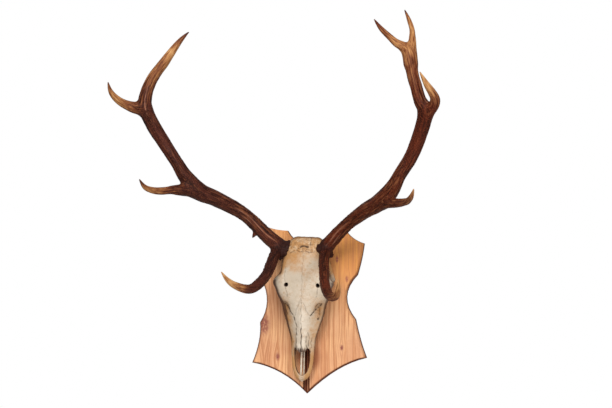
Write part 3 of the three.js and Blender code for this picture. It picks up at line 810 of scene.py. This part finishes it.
def relief_tree(name):
    """Raises and lowers a surface along its grain, with small pearls where it is pearled."""
    tree = bpy.data.node_groups.new(name, "GeometryNodeTree")
    tree.interface.new_socket("Geometry", in_out="INPUT", socket_type="NodeSocketGeometry")
    for label in ("Ridge Depth", "Ridge Scale", "Pearl Depth", "Pearl Scale", "Seed"):
        tree.interface.new_socket(label, in_out="INPUT", socket_type="NodeSocketFloat")
    tree.interface.new_socket("Finish", in_out="INPUT", socket_type="NodeSocketMaterial")
    tree.interface.new_socket("Geometry", in_out="OUTPUT", socket_type="NodeSocketGeometry")
    given = add_node(tree, "NodeGroupInput").outputs
    ridge = ridge_values(tree, given)
    pearl = pearl_values(tree, given)
    ridge_height = add_math(tree, "MULTIPLY", ridge, given["Ridge Depth"])
    pearl_height = add_math(tree, "MULTIPLY", pearl, given["Pearl Depth"])
    height = add_math(tree, "ADD", ridge_height, pearl_height)
    normal = add_node(tree, "GeometryNodeInputNormal").outputs[0]
    outward = {0: normal, "Scale": height}
    offset = add_node(tree, "ShaderNodeVectorMath", outward, operation="SCALE").outputs[0]
    kept = add_node(
        tree, "GeometryNodeStoreNamedAttribute",
        {"Geometry": given["Geometry"], "Name": "ridge", "Value": add_math(tree, "ADD", ridge, pearl)},
        data_type="FLOAT", domain="POINT",
    ).outputs[0]
    moved = add_node(tree, "GeometryNodeSetPosition", {"Geometry": kept, "Offset": offset}).outputs[0]
    whole = add_node(tree, "GeometryNodeRealizeInstances", {"Geometry": moved}).outputs[0]
    painted = {"Geometry": whole, "Material": given["Finish"]}
    finished = add_node(tree, "GeometryNodeSetMaterial", painted).outputs[0]
    add_node(tree, "NodeGroupOutput", {"Geometry": finished})
    return tree


def apply_tree(piece, tree, values):
    """Runs a geometry tree on a piece with named inputs and keeps the result as a plain mesh."""
    modifier = piece.modifiers.new("relief", "NODES")
    modifier.node_group = tree
    for item in tree.interface.items_tree:
        if item.in_out == "INPUT" and item.name in values:
            modifier[item.identifier] = values[item.name]
    graph = bpy.context.evaluated_depsgraph_get()
    shaped = piece.evaluated_get(graph)
    made = bpy.data.meshes.new_from_object(shaped, preserve_all_data_layers=True, depsgraph=graph)
    piece.modifiers.clear()
    old = piece.data
    piece.data = made
    bpy.data.meshes.remove(old)
    made.name = piece.name


# Antlers

def antler_nodes(side):
    """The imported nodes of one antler."""
    return [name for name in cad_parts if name.startswith(side + "_")]


def antler_foot(branches):
    """The middle of an antler's burr and the direction from it into the skull."""
    rows = smooth_rows(branches["main"], BRANCH_ROW)
    inward = rows[0, :3] - rows[3, :3]
    return rows[0, :3], inward / np.linalg.norm(inward)


def burr_frame(main):
    """The middle of the burr, the direction of the beam there and two directions across it."""
    axis = main[3, :3] - main[0, :3]
    axis /= np.linalg.norm(axis)
    across = np.cross(axis, (0.0, 1.0, 0.0))
    across /= np.linalg.norm(across)
    return main[0, :3], axis, across, np.cross(axis, across)


def burr_knobs(main, random):
    """Rough knobs in a ring round the foot of an antler, as x, y, z, radius."""
    centre, axis, across, other = burr_frame(main)
    knobs = []
    for i in range(BURR_KNOBS):
        turn = 2 * math.pi * (i + random.uniform(-0.35, 0.35)) / BURR_KNOBS
        reach = BURR_RING + 0.75 * BURR_THICKNESS + random.uniform(-2, 1.2)
        outward = math.cos(turn) * across + math.sin(turn) * other
        place = centre + reach * outward + random.uniform(-4, 5) * axis
        knobs.append((*place, random.uniform(3.0, 5.0)))
    return knobs


def branch_distance(block, line):
    """Distances to one branch as a chain of tapered rods, and the slices of the block round it."""
    margin = 2 * BRANCH_MARGIN
    slices, _ = block.window(line[:, :3].min(axis=0) - margin, line[:, :3].max(axis=0) + margin)
    local = np.full([s.stop - s.start for s in slices], FAR, dtype=np.float32)
    for start, end in zip(line[:-1:2], np.concatenate([line[2::2], line[-1:]])):
        reach = max(start[3], end[3]) + BRANCH_MARGIN
        part, near = block.window(np.minimum(start, end)[:3] - reach, np.maximum(start, end)[:3] + reach)
        inner = tuple(slice(p.start - s.start, p.stop - s.start) for p, s in zip(part, slices))
        local[inner] = np.minimum(local[inner], segment_distance(near, start, end))
    return local, slices


def antler_block(branches, random):
    """All branches of one antler as one block of distances, filleted at the forks."""
    rows = {name: smooth_rows(points, BRANCH_ROW) for name, points in branches.items()}
    every = np.concatenate(list(rows.values()))
    low = every[:, :3].min(axis=0) - BURR_REACH
    high = every[:, :3].max(axis=0) + BRANCH_REACH
    block = Block(low, high, ANTLER_STEP)
    for name, line in rows.items():
        block.join(*branch_distance(block, line), SPUR_FILLET if name == "spur" else FORK_FILLET)
    centre, axis, _, _ = burr_frame(rows["main"])
    slices, grid = block.window(centre - BURR_REACH, centre + BURR_REACH)
    block.join(ring_distance(grid, centre + 2 * axis, axis, BURR_RING, BURR_THICKNESS), slices, 5)
    for knob in burr_knobs(rows["main"], random):
        middle = np.array(knob[:3])
        slices, grid = block.window(middle - KNOB_REACH, middle + KNOB_REACH)
        block.join(ball_distance(grid, middle, (knob[3],) * 3), slices, 1.8)
    return block, rows


def branch_frames(line):
    """Length along a branch and two crossing directions that don't twist, for each row."""
    tangent = np.gradient(line[:, :3], axis=0)
    tangent /= np.linalg.norm(tangent, axis=1)[:, None]
    along = np.concatenate([[0], np.cumsum(np.linalg.norm(np.diff(line[:, :3], axis=0), axis=1))])
    side = np.cross(tangent[0], (0.0, 1.0, 0.0))
    first = []
    for direction in tangent:
        side = side - direction * np.dot(side, direction)
        side /= np.linalg.norm(side)
        first.append(side)
    first = np.array(first)
    return along, tangent, first, np.cross(tangent, first)


def nearest_rows(places, line):
    """The row of a branch that is nearest to each point."""
    row = np.empty(len(places), dtype=int)
    for start in range(0, len(places), POINTS_AT_ONCE):
        some = slice(start, start + POINTS_AT_ONCE)
        apart = places[some, None, :] - line[None, :, :3]
        row[some] = np.argmin((apart**2).sum(axis=2), axis=1)
    return row


def ridge_highlight_marks(ridges, reach, length, turn, radius):
    """How close each point of a branch is to any of its pale ridges, which are worn and carry a painted
    highlight.
    """
    mark = np.zeros(len(reach))
    share = reach / length
    for low, high, lean in ridges:
        gap = np.angle(np.exp(1j * (turn - lean - 0.08 * np.sin(0.06 * reach)))) * radius
        fade = ramp(share, low, low + 0.03) * ramp(share, high, high - 0.06)
        mark = np.maximum(mark, np.exp(-((gap / RIDGE_WIDTH) ** 2)) * fade)
    return mark


def antler_values(places, rows, paleness, ridges):
    """Grain, paleness, relief and painted ridge highlight of each surface point from the branches that it
    lies on.
    """
    nearest = np.full(len(places), 1e9)
    second = np.full(len(places), 1e9)
    grain = np.zeros((len(places), 3))
    slender = np.zeros(len(places))
    ridge_highlight_mark = np.zeros(len(places))
    pale_sum = np.zeros(len(places))
    weight_sum = np.zeros(len(places))
    for order, (name, line) in enumerate(rows.items()):
        along, tangent, first, other = branch_frames(line)
        row = nearest_rows(places, line)
        radius = line[row, 3]
        away = places - line[row, :3]
        distance = np.linalg.norm(away, axis=1) - radius
        reach = along[row] + (away * tangent[row]).sum(axis=1)
        closer = distance < nearest
        second = np.where(closer, nearest, np.minimum(second, distance))
        nearest = np.where(closer, distance, nearest)
        sideways = (away * first[row]).sum(axis=1)
        crossways = (away * other[row]).sum(axis=1)
        offset = np.stack([sideways, crossways, GRAIN_STRETCH * reach], axis=1)
        grain[closer] = (offset + BRANCH_SHIFT * order)[closer]
        slender[closer] = ramp(radius, 3.0, 11.0)[closer]
        turn = np.arctan2(crossways, sideways) - np.arctan2(other[row] @ FRONT, first[row] @ FRONT)
        own_ridges = [ridge[1:] for ridge in ridges if ridge[0] == name]
        ridge_highlight_mark[closer] = ridge_highlight_marks(own_ridges, reach, along[-1], turn, radius)[closer]
        shares, tones = np.array(paleness[name]).T
        weight = np.exp(-np.maximum(distance, -6) / 3.0) + 1e-9
        pale_sum += weight * np.interp(reach / along[-1], shares, tones)
        weight_sum += weight
    pale = pale_sum / weight_sum
    calm = ramp(second - nearest, 2.0, 14.0)
    from_foot = np.linalg.norm(places - rows["main"][0, :3], axis=1)
    pearled = slender * calm * (1 - pale) * (1 - 0.75 * ramp(from_foot, 40, 240))
    return {
        "grain": grain * MM,
        "pale": pale - 0.6 * ramp(from_foot, 42, 24),
        # the pale ridge lines, raised and carrying a painted highlight
        "line": ridge_highlight_mark,
        "ridged": slender * calm * (1 - 0.7 * pale) * ramp(from_foot, 24, 60),
        "pearled": np.maximum(pearled, 0.8 * ramp(from_foot, 46, 30)),
    }


def make_antler(side, branches, paleness, ridges, tree, finish, seed):
    """One antler as a single grown piece with ridges, pearls and a knobbly burr."""
    random = np.random.default_rng(seed)
    block, rows = antler_block(branches, random)
    places, faces = block.skin()
    places = even_out(places, faces, block, 2)
    values = antler_values(places, rows, paleness, ridges)
    raised = places + RIDGE_RISE * block.normals(places) * values["line"][:, None]
    piece = new_mesh_object(side + "_antler", raised, faces, values)
    apply_tree(piece, tree, {**ANTLER_RELIEF, "Seed": float(seed), "Finish": finish})
    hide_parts(*antler_nodes(side))
    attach(piece, "root")


# Skull

def section_values(z):
    """Each column of the skull's sections at any z, without kinks between sections."""
    fine = np.arange(SKULL_SECTIONS[0, 0] - 40, SKULL_SECTIONS[-1, 0] + 40, 1.0)
    weights = np.exp(-0.5 * (np.arange(-15, 16) / SECTION_BLEND) ** 2)
    weights /= weights.sum()
    values = []
    for column in range(1, 7):
        line = np.interp(fine, SKULL_SECTIONS[:, 0], SKULL_SECTIONS[:, column])
        line = np.convolve(np.pad(line, 15, mode="edge"), weights, mode="valid")
        values.append(np.interp(z, fine, line).astype(np.float32))
    return values


def true_distance(form):
    """A form that is zero on its surface, scaled to distances near it."""
    slopes = np.gradient(form, SKULL_STEP)
    return form / np.maximum(np.sqrt(sum(s * s for s in slopes)), 0.004)


def loft_distance(x, height, z):
    """The skull's outer form: egg-shaped sections, widest above the shield and drawn in below."""
    half, level, drop, top, side_power, top_power = section_values(z)
    ridge = 3.2 * np.exp(-((x / 10) ** 2)) * ramp(z, 34, -25) * ramp(z, -112, -95)
    upper = np.maximum(height - level, 0) / (top + ridge - level)
    lower = np.maximum(level - height, 0) / drop
    form = (np.abs(x) / half) ** side_power + upper**top_power + lower**2.0
    form = true_distance(form ** (1 / side_power) - 1)
    end = np.maximum(z - SKULL_TOP, SKULL_SECTIONS[0, 0] + 1 - z)
    return -soft_min(-form, -end, 14)


def hollow_distance(x, height, z):
    """The hollow behind the face, open to the shield."""
    half, _, _, top, _, _ = section_values(z)
    across = x / np.maximum(0.6 * half - 6, 3)
    up = np.maximum(height, 0) / (top - BONE_WALL)
    form = np.sqrt(across**2 + up**2) - 1
    return np.maximum(true_distance(form), np.maximum(HOLLOW_ENDS[0] - z, z - HOLLOW_ENDS[1]))


def nasal_distance(x, height, z):
    """The pair of nose bones, a low roof that ends in two blunt tips over the nose opening."""
    half = np.interp(z, NASAL_HALF_WIDTH[:, 0], NASAL_HALF_WIDTH[:, 1])
    top = section_values(z)[3] + 2.6 - 6 * ramp(z, -90, -60)
    roof = np.maximum(np.abs(x) - half, np.abs(height - top + 5.0 + 0.012 * x * x) - 5.0)
    tips = NASAL_ENDS[0] - z + 0.5 * np.abs(np.abs(x) - 6)
    return np.maximum(roof, np.maximum(tips, z - NASAL_ENDS[1]))


def opening_distance(x, height, z):
    """The nose opening, cut straight back to the shield."""
    opening = np.abs(x) - np.interp(z, NOSE_OPENING[:, 0], NOSE_OPENING[:, 1])
    opening = np.maximum(opening, np.maximum(NOSE_OPENING_ENDS[0] - z, z - NOSE_OPENING_ENDS[1]))
    return np.maximum(opening, height - NOSE_OPENING_HEIGHT)


def to_skull(place):
    """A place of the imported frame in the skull's own upright frame."""
    dx, dz = place[0] - SKULL_PIVOT[0], place[2] - SKULL_PIVOT[1]
    x = math.cos(SKULL_ROLL) * dx - math.sin(SKULL_ROLL) * dz
    z = math.sin(SKULL_ROLL) * dx + math.cos(SKULL_ROLL) * dz + SKULL_PIVOT[1]
    return np.array([x, -place[1] - BOARD_FRONT, z])


def from_skull(places):
    """Points of the skull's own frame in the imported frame."""
    dx, dz = places[:, 0], places[:, 2] - SKULL_PIVOT[1]
    x = SKULL_PIVOT[0] + math.cos(SKULL_ROLL) * dx + math.sin(SKULL_ROLL) * dz
    z = SKULL_PIVOT[1] - math.sin(SKULL_ROLL) * dx + math.cos(SKULL_ROLL) * dz
    return np.stack([x, -BOARD_FRONT - places[:, 1], z], axis=1)


def carve_sides(block, grid, whole):
    """Eye socket, tear pit, temple and cheek arch on both sides."""
    for sign in (-1, 1):
        for (side, height, z), radii, fillet in SIDE_HOLLOWS:
            block.cut(ball_distance(grid, (sign * side, height, z), radii), whole, fillet)
        arch = [(sign * side, *rest) for side, *rest in CHEEK_ARCH]
        for start, end in zip(arch[:-1], arch[1:]):
            block.join(segment_distance(grid, start, end), whole, 4)


def carve_holes(block, grid, whole):
    """Thin rods in the nose opening, brow holes, the gap at the right eye socket and nasal nicks."""
    for sign in (-1, 1):
        radius = NOSE_ROD_RADIUS - 0.5 * sign
        low, high = [(sign * side, *rest) for side, *rest in NOSE_RODS]
        block.join(segment_distance(grid, (*low, radius + 0.3), (*high, radius)), whole, 1)
    for hole_x, hole_z in BROW_HOLES:
        outer = (hole_x, 84, hole_z, BROW_HOLE_RADIUS)
        inner = (0.93 * hole_x, 60, hole_z + 3, 0.7 * BROW_HOLE_RADIUS)
        block.cut(segment_distance(grid, outer, inner), whole, 2)
    block.cut(ball_distance(grid, SOCKET_GAP, SOCKET_GAP_RADII), whole, 2)
    for nick in NASAL_NICKS:
        block.cut(ball_distance(grid, nick[:3], (nick[3],) * 3), whole, 1.5)


def skull_block(feet):
    """The bone as one block of distances: loft, nose, sockets, hollow and antler stumps."""
    block = Block(*SKULL_BOX, SKULL_STEP)
    whole, grid = block.window((-1e3, -1e3, -1e3), (1e3, 1e3, 1e3))
    full = np.zeros(block.values.shape, dtype=np.float32)
    filled = tuple(axis + full for axis in grid)
    block.values[:] = loft_distance(*filled)
    block.join(nasal_distance(*grid), whole, 8)
    carve_sides(block, grid, whole)
    for foot, inward in feet:
        start = (*to_skull(foot), STUMP_RADII[0])
        end = (*to_skull(foot + inward * STUMP_LENGTH), STUMP_RADII[1])
        block.join(segment_distance(grid, start, end), whole, 12)
    block.cut(opening_distance(*grid), whole, 2)
    block.cut(hollow_distance(*filled), whole, 2)
    carve_holes(block, grid, whole)
    block.values[:] = np.maximum(block.values, 0.4 - filled[1])
    return block


def line_distance(places, route):
    """Distance from each point to a route, seen from the front."""
    best = np.full(len(places), 1e9)
    for (x0, z0), (x1, z1) in zip(route[:-1], route[1:]):
        along = np.array([x1 - x0, z1 - z0], dtype=float)
        away = places[:, [0, 2]] - (x0, z0)
        share = np.clip(away @ along / (along @ along), 0, 1)
        best = np.minimum(best, np.linalg.norm(away - share[:, None] * along, axis=1))
    return best


def crack_and_hole_shade_values(places, normal):
    """How dark and how deep the bone is cracked at each surface point, with painted shade inside the brow
    holes.
    """
    x, _, z = places.T
    facing = ramp(normal[:, 1], 0.05, 0.4)
    crack_and_hole_shade = np.zeros(len(places))
    depth = np.zeros(len(places))
    wander = 0.8 * np.sin(z * 0.23) + 0.5 * np.sin(x * 0.5 + z * 0.37)
    wandered = places + wander[:, None] * (1, 0, 0.5)
    for order, (deep, width, route) in enumerate(CRACKS):
        mark = np.exp(-((line_distance(wandered, route) / width) ** 2)) * facing
        if deep <= UNBROKEN_CRACK:
            broken = 0.5 + 0.5 * np.sin(z * 0.43 + 1.7 * order) * np.sin(x * 0.53 + z * 0.17 + order)
            mark = mark * ramp(broken, -0.15, 0.65)
        crack_and_hole_shade = np.maximum(crack_and_hole_shade, mark * min(deep, FULL_CRACK) / FULL_CRACK)
        depth = np.maximum(depth, mark * deep)
    # Painted shade inside the brow holes
    for hole_x, hole_z in BROW_HOLES:
        apart = np.hypot(x - hole_x, z - hole_z)
        crack_and_hole_shade = np.maximum(crack_and_hole_shade, ramp(apart, BROW_HOLE_RADIUS + 0.6, BROW_HOLE_RADIUS - 1.2))
    return crack_and_hole_shade, depth


def edge_values(x, z, wide):
    """Painted shade: dark lines down the edges of the face and the left temple."""
    start = 0.74 + 0.08 * ramp(z, 15, 50) + 0.05 * ramp(z, 0, -40)
    left_edge = 0.92 * ramp(wide, start, start + 0.1) * (x < 0)
    right_edge = 0.85 * ramp(wide, 0.90, 0.98) * (x > 0)
    face_edge = (left_edge + right_edge) * ramp(z, -95, -60) * ramp(z, 84, 76)
    temple_edge = 0.85 * ramp(wide, 0.82, 0.93) * (x < 0) * ramp(z, 88, 98) * ramp(z, 160, 148)
    return np.maximum(face_edge, temple_edge)


def shade_values(places, normal, wide, level, pit):
    """Painted shade in the bone's sockets and pits, on its steep flanks and along its edges, and how dark it
    is at the nasal tips.
    """
    x, height, z = places.T
    toward = normal[:, 1] * -FRONT[1] + normal[:, 0] * FRONT[0]
    # Painted shade on sides turned from the front and below the widest level
    under = ramp(level - height, 8, 30)
    rim = np.exp(-(((toward - 0.25) / 0.22) ** 2))
    steep = np.maximum(0.75 * rim, 0.30 + 0.35 * under) * ramp(toward, 0.60, 0.25)
    # Painted shade in the eye sockets and in the gap at the right one
    socket = np.minimum(1.5 * spot(z, height, (60, 34), (24, 26)), 1)
    socket = socket * ramp(height, 68, 58) * ramp(np.abs(x), 22, 30)
    gap = spot(x, z, (SOCKET_GAP[0], SOCKET_GAP[2]), (8, 13)) * ramp(height, 75, 69)
    sockets = 0.95 * np.maximum(socket, gap)
    uneven = 2.5 * np.sin(x * 1.1) + 1.8 * np.sin(x * 2.6 + 1)
    tips = ramp(z + uneven, -89, -95) * ramp(z, -114, -108)
    tips = tips * ramp(height, 24, 32) * ramp(np.abs(x), 24, 18)
    return np.max([steep, sockets, edge_values(x, z, wide), 0.85 * tips, 0.34 * pit], axis=0)


def stain_and_shade_values(x, z, wide, pit):
    """How brown the bone is: stained over the brow, on the flanks, on the crown and at the snout, and darker
    on the temples and in the tear pits as painted shade.
    """
    brow = ramp(z + 8 * np.sin(0.07 * x + 1) + 5 * np.sin(0.19 * x), 78, 112)
    clear = spot(x, z, (10, 116), (26, 26))
    left = ramp(x, 20, -45) * ramp(z, 95, 125)
    # Painted shade: the temples darker
    temple = ramp(wide, 0.68, 0.95) * ramp(z, 78, 100)
    flank = ramp(wide, 0.25, 0.8) * ramp(z, 60, 10)
    stain_and_shade = 0.6 * brow - 0.42 * clear + 0.3 * left + 0.5 * temple
    stain_and_shade += (0.75 - 0.05 * np.sign(x)) * flank + 0.3 * ramp(z, -95, -125)
    # the tear pits browner as painted shade
    return stain_and_shade + 0.2 * ramp(z, 150, 175) + 0.3 * pit


def skull_values(places, normal):
    """Cracks, painted shade, stains and relief of each surface point, and the depth of its cracks."""
    x, _, z = places.T
    half, level, _, _, _, _ = section_values(z)
    wide = np.abs(x) / half
    pit = spot(np.abs(x), z, (42, 5), (8, 15))
    pitted = 0.9 * spot(np.abs(x), z, (39, 4), (12, 18))
    crown = ramp(z, 138, 162)
    crack_and_hole_shade, depth = crack_and_hole_shade_values(places, normal)
    values = {
        "crack_and_hole_shade": crack_and_hole_shade,
        # stain, with painted shade on the temples and in the tear pits
        "stain_and_shade": stain_and_shade_values(x, z, wide, pit),
        "paler_nose_middle": ramp(wide, 0.45, 0.15) * ramp(z, 40, -10),
        # painted shade, and the dark nasal tips
        "shade": shade_values(places, normal, wide, level, pit),
        "grain": places * MM,
        "crown": crown,
        "veined": np.maximum(crown, pitted),
        "ridged": 0.5 + 0.7 * ramp(z, 120, 175),
        "pearled": np.zeros(len(places)),
    }
    return values, depth


def make_skull(feet, tree, finish):
    """The cut upper skull as one bone."""
    block = skull_block(feet)
    places, faces = block.skin()
    places = even_out(places, faces, block, 3)
    normal = block.normals(places)
    values, depth = skull_values(places, normal)
    places = places - normal * depth[:, None]
    # The skull's own frame is left-handed, so its faces are turned round
    piece = new_mesh_object("deer_skull", from_skull(places), faces[:, ::-1], values)
    apply_tree(piece, tree, {**BONE_RELIEF, "Seed": BONE_SEED, "Finish": finish})
    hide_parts("skull")
    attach(piece, "root")


# Shield

def is_wide_front(face):
    """Whether a face is one of the two plain halves of the front."""
    return face.normal.y < -0.99 and face.calc_area() > WIDE_FACE


def add_border(shape, front):
    """Adds a narrow strip to the front along its chamfered outer edge."""
    inward = {}
    for loop in [loop for face in front for loop in face.loops]:
        vert = loop.vert
        normals = [face.normal for face in vert.link_faces]
        before = (vert.co - loop.link_loop_prev.vert.co).normalized()
        after = (loop.link_loop_next.vert.co - vert.co).normalized()
        if any(abs(normal.x) > 0.9 for normal in normals):
            along = Vector((0, 0, -math.copysign(1, vert.co.z)))
        else:
            along = loop.face.normal.cross(before + after).normalized()
        if any(-0.9 < normal.y < -0.5 for normal in normals):
            inward[vert] = along
    bmesh.ops.inset_region(shape, faces=front, thickness=0.0, use_boundary=True)
    for vert, direction in inward.items():
        vert.co += BORDER * MM * direction
    bmesh.ops.remove_doubles(shape, verts=shape.verts, dist=0.01 * MM)


def board_shape():
    """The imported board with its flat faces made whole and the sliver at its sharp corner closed."""
    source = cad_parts["shield_board"]
    shape = bmesh.new()
    shape.from_mesh(source.data)
    shape.transform(source.matrix_world)
    bmesh.ops.remove_doubles(shape, verts=shape.verts, dist=0.01 * MM)
    bmesh.ops.dissolve_limit(shape, angle_limit=math.radians(0.5), verts=shape.verts, edges=shape.edges)
    tip = Vector(SHARP_CORNER) * MM
    sliver = [vert for vert in shape.verts if (vert.co - tip).length < SLIVER * MM]
    bmesh.ops.pointmerge(shape, verts=sliver, merge_co=tip)
    shape.normal_update()
    return shape


def make_shield(finish):
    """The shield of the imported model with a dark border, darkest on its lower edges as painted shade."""
    shape = board_shape()
    add_border(shape, [face for face in shape.faces if is_wide_front(face)])
    shape.normal_update()
    stained_and_shaded_border = shape.verts.layers.float.new("stained_and_shaded_border")
    for vert in shape.verts:
        x, _, z = vert.normal
        plain = any(is_wide_front(face) for face in vert.link_faces)
        # Painted shade: darkest on downward edges, less on left and right ones, none on the top
        vert[stained_and_shaded_border] = 0.0 if plain else min(1.0, max(0.0, -3 * z, -1.2 * x, 0.5 * x))
    bmesh.ops.triangulate(shape, faces=shape.faces)
    for face in shape.faces:
        face.smooth = False
    mesh = bpy.data.meshes.new("carved_shield")
    shape.to_mesh(mesh)
    shape.free()
    mesh.materials.append(finish)
    piece = add_object("carved_shield", mesh)
    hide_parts("shield_board")
    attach(piece, "root")


# Scene

def paint_node(node, finish):
    """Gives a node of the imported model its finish."""
    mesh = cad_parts[node].data
    mesh.materials.clear()
    mesh.materials.append(finish)


def place_camera():
    """The photograph's viewpoint, a little to the right of the trophy and below its middle."""
    back = Vector((
        math.sin(VIEW_AZIMUTH) * math.cos(VIEW_ELEVATION),
        -math.cos(VIEW_AZIMUTH) * math.cos(VIEW_ELEVATION),
        math.sin(VIEW_ELEVATION),
    ))
    data = bpy.data.cameras.new("camera")
    data.sensor_width = SENSOR
    data.sensor_fit = "HORIZONTAL"
    data.lens = SENSOR * VIEW_DISTANCE / MM_PER_PIXEL / IMAGE_WIDTH
    data.clip_start = 0.05
    camera = add_object("camera", data)
    camera.location = (Vector(VIEW_TARGET) + VIEW_DISTANCE * back) * MM
    camera.rotation_euler = (-back).to_track_quat("-Z", "Y").to_euler()
    bpy.context.scene.camera = camera


def add_lamp(name, place, size, power):
    """A soft square lamp that faces the middle of the trophy."""
    data = bpy.data.lights.new(name, "AREA")
    data.shape = "SQUARE"
    data.size = size * MM
    data.energy = power
    lamp = add_object(name, data)
    lamp.location = Vector(place) * MM
    aim = Vector(LAMP_AIM) - Vector(place)
    lamp.rotation_euler = aim.to_track_quat("-Z", "Y").to_euler()


def light_studio():
    """White surroundings that light softly, a lamp above the front and a weaker one at the right."""
    world = bpy.data.worlds.new("studio")
    world.use_nodes = True
    tree = world.node_tree
    tree.nodes.clear()
    seen = add_node(tree, "ShaderNodeLightPath").outputs["Is Camera Ray"]
    strength = add_range(tree, seen, 0.0, 1.0, WORLD_LIGHT, 1.0)
    background = add_node(tree, "ShaderNodeBackground", {"Color": WHITE, "Strength": strength})
    add_node(tree, "ShaderNodeOutputWorld", {"Surface": background.outputs[0]})
    bpy.context.scene.world = world
    bpy.context.scene.view_settings.view_transform = "Standard"
    for name, (place, size, power) in LAMPS.items():
        add_lamp(name, place, size, power)


def lay_floor():
    """A plain pale floor well below the hanging trophy."""
    material, tree, shader, place = new_material("floor")
    tone = add_mix(tree, add_noise(tree, place, 3.0), FLOOR_TONES["grey"], FLOOR_TONES["pale_grey"])
    tree.links.new(tone, shader.inputs["Base Color"])
    shader.inputs["Roughness"].default_value = 0.8
    mesh = bpy.data.meshes.new("floor")
    shape = bmesh.new()
    bmesh.ops.create_circle(shape, cap_ends=True, radius=FLOOR_RADIUS * MM, segments=96)
    bmesh.ops.translate(shape, verts=shape.verts, vec=(0, 0, FLOOR_LEVEL * MM))
    shape.to_mesh(mesh)
    shape.free()
    mesh.materials.append(material)
    add_object("floor", mesh)


place_camera()
light_studio()
lay_floor()
relief = relief_tree("surface_relief")
left_finish = antler_finish("left_antler_brown", LEFT_TONES)
right_finish = antler_finish("right_antler_brown", RIGHT_TONES)
make_antler("left", LEFT_ANTLER, LEFT_PALE, LEFT_RIDGES, relief, left_finish, SEED)
make_antler("right", RIGHT_ANTLER, RIGHT_PALE, RIGHT_RIDGES, relief, right_finish, SEED + 1)
make_skull([antler_foot(LEFT_ANTLER), antler_foot(RIGHT_ANTLER)], relief, bone_finish())
make_shield(wood_finish())
steel = steel_finish()
for node in ("hanger_plate", "hanger_screw_1", "hanger_screw_2", "skull_screw_1", "skull_screw_2"):
    paint_node(node, steel)
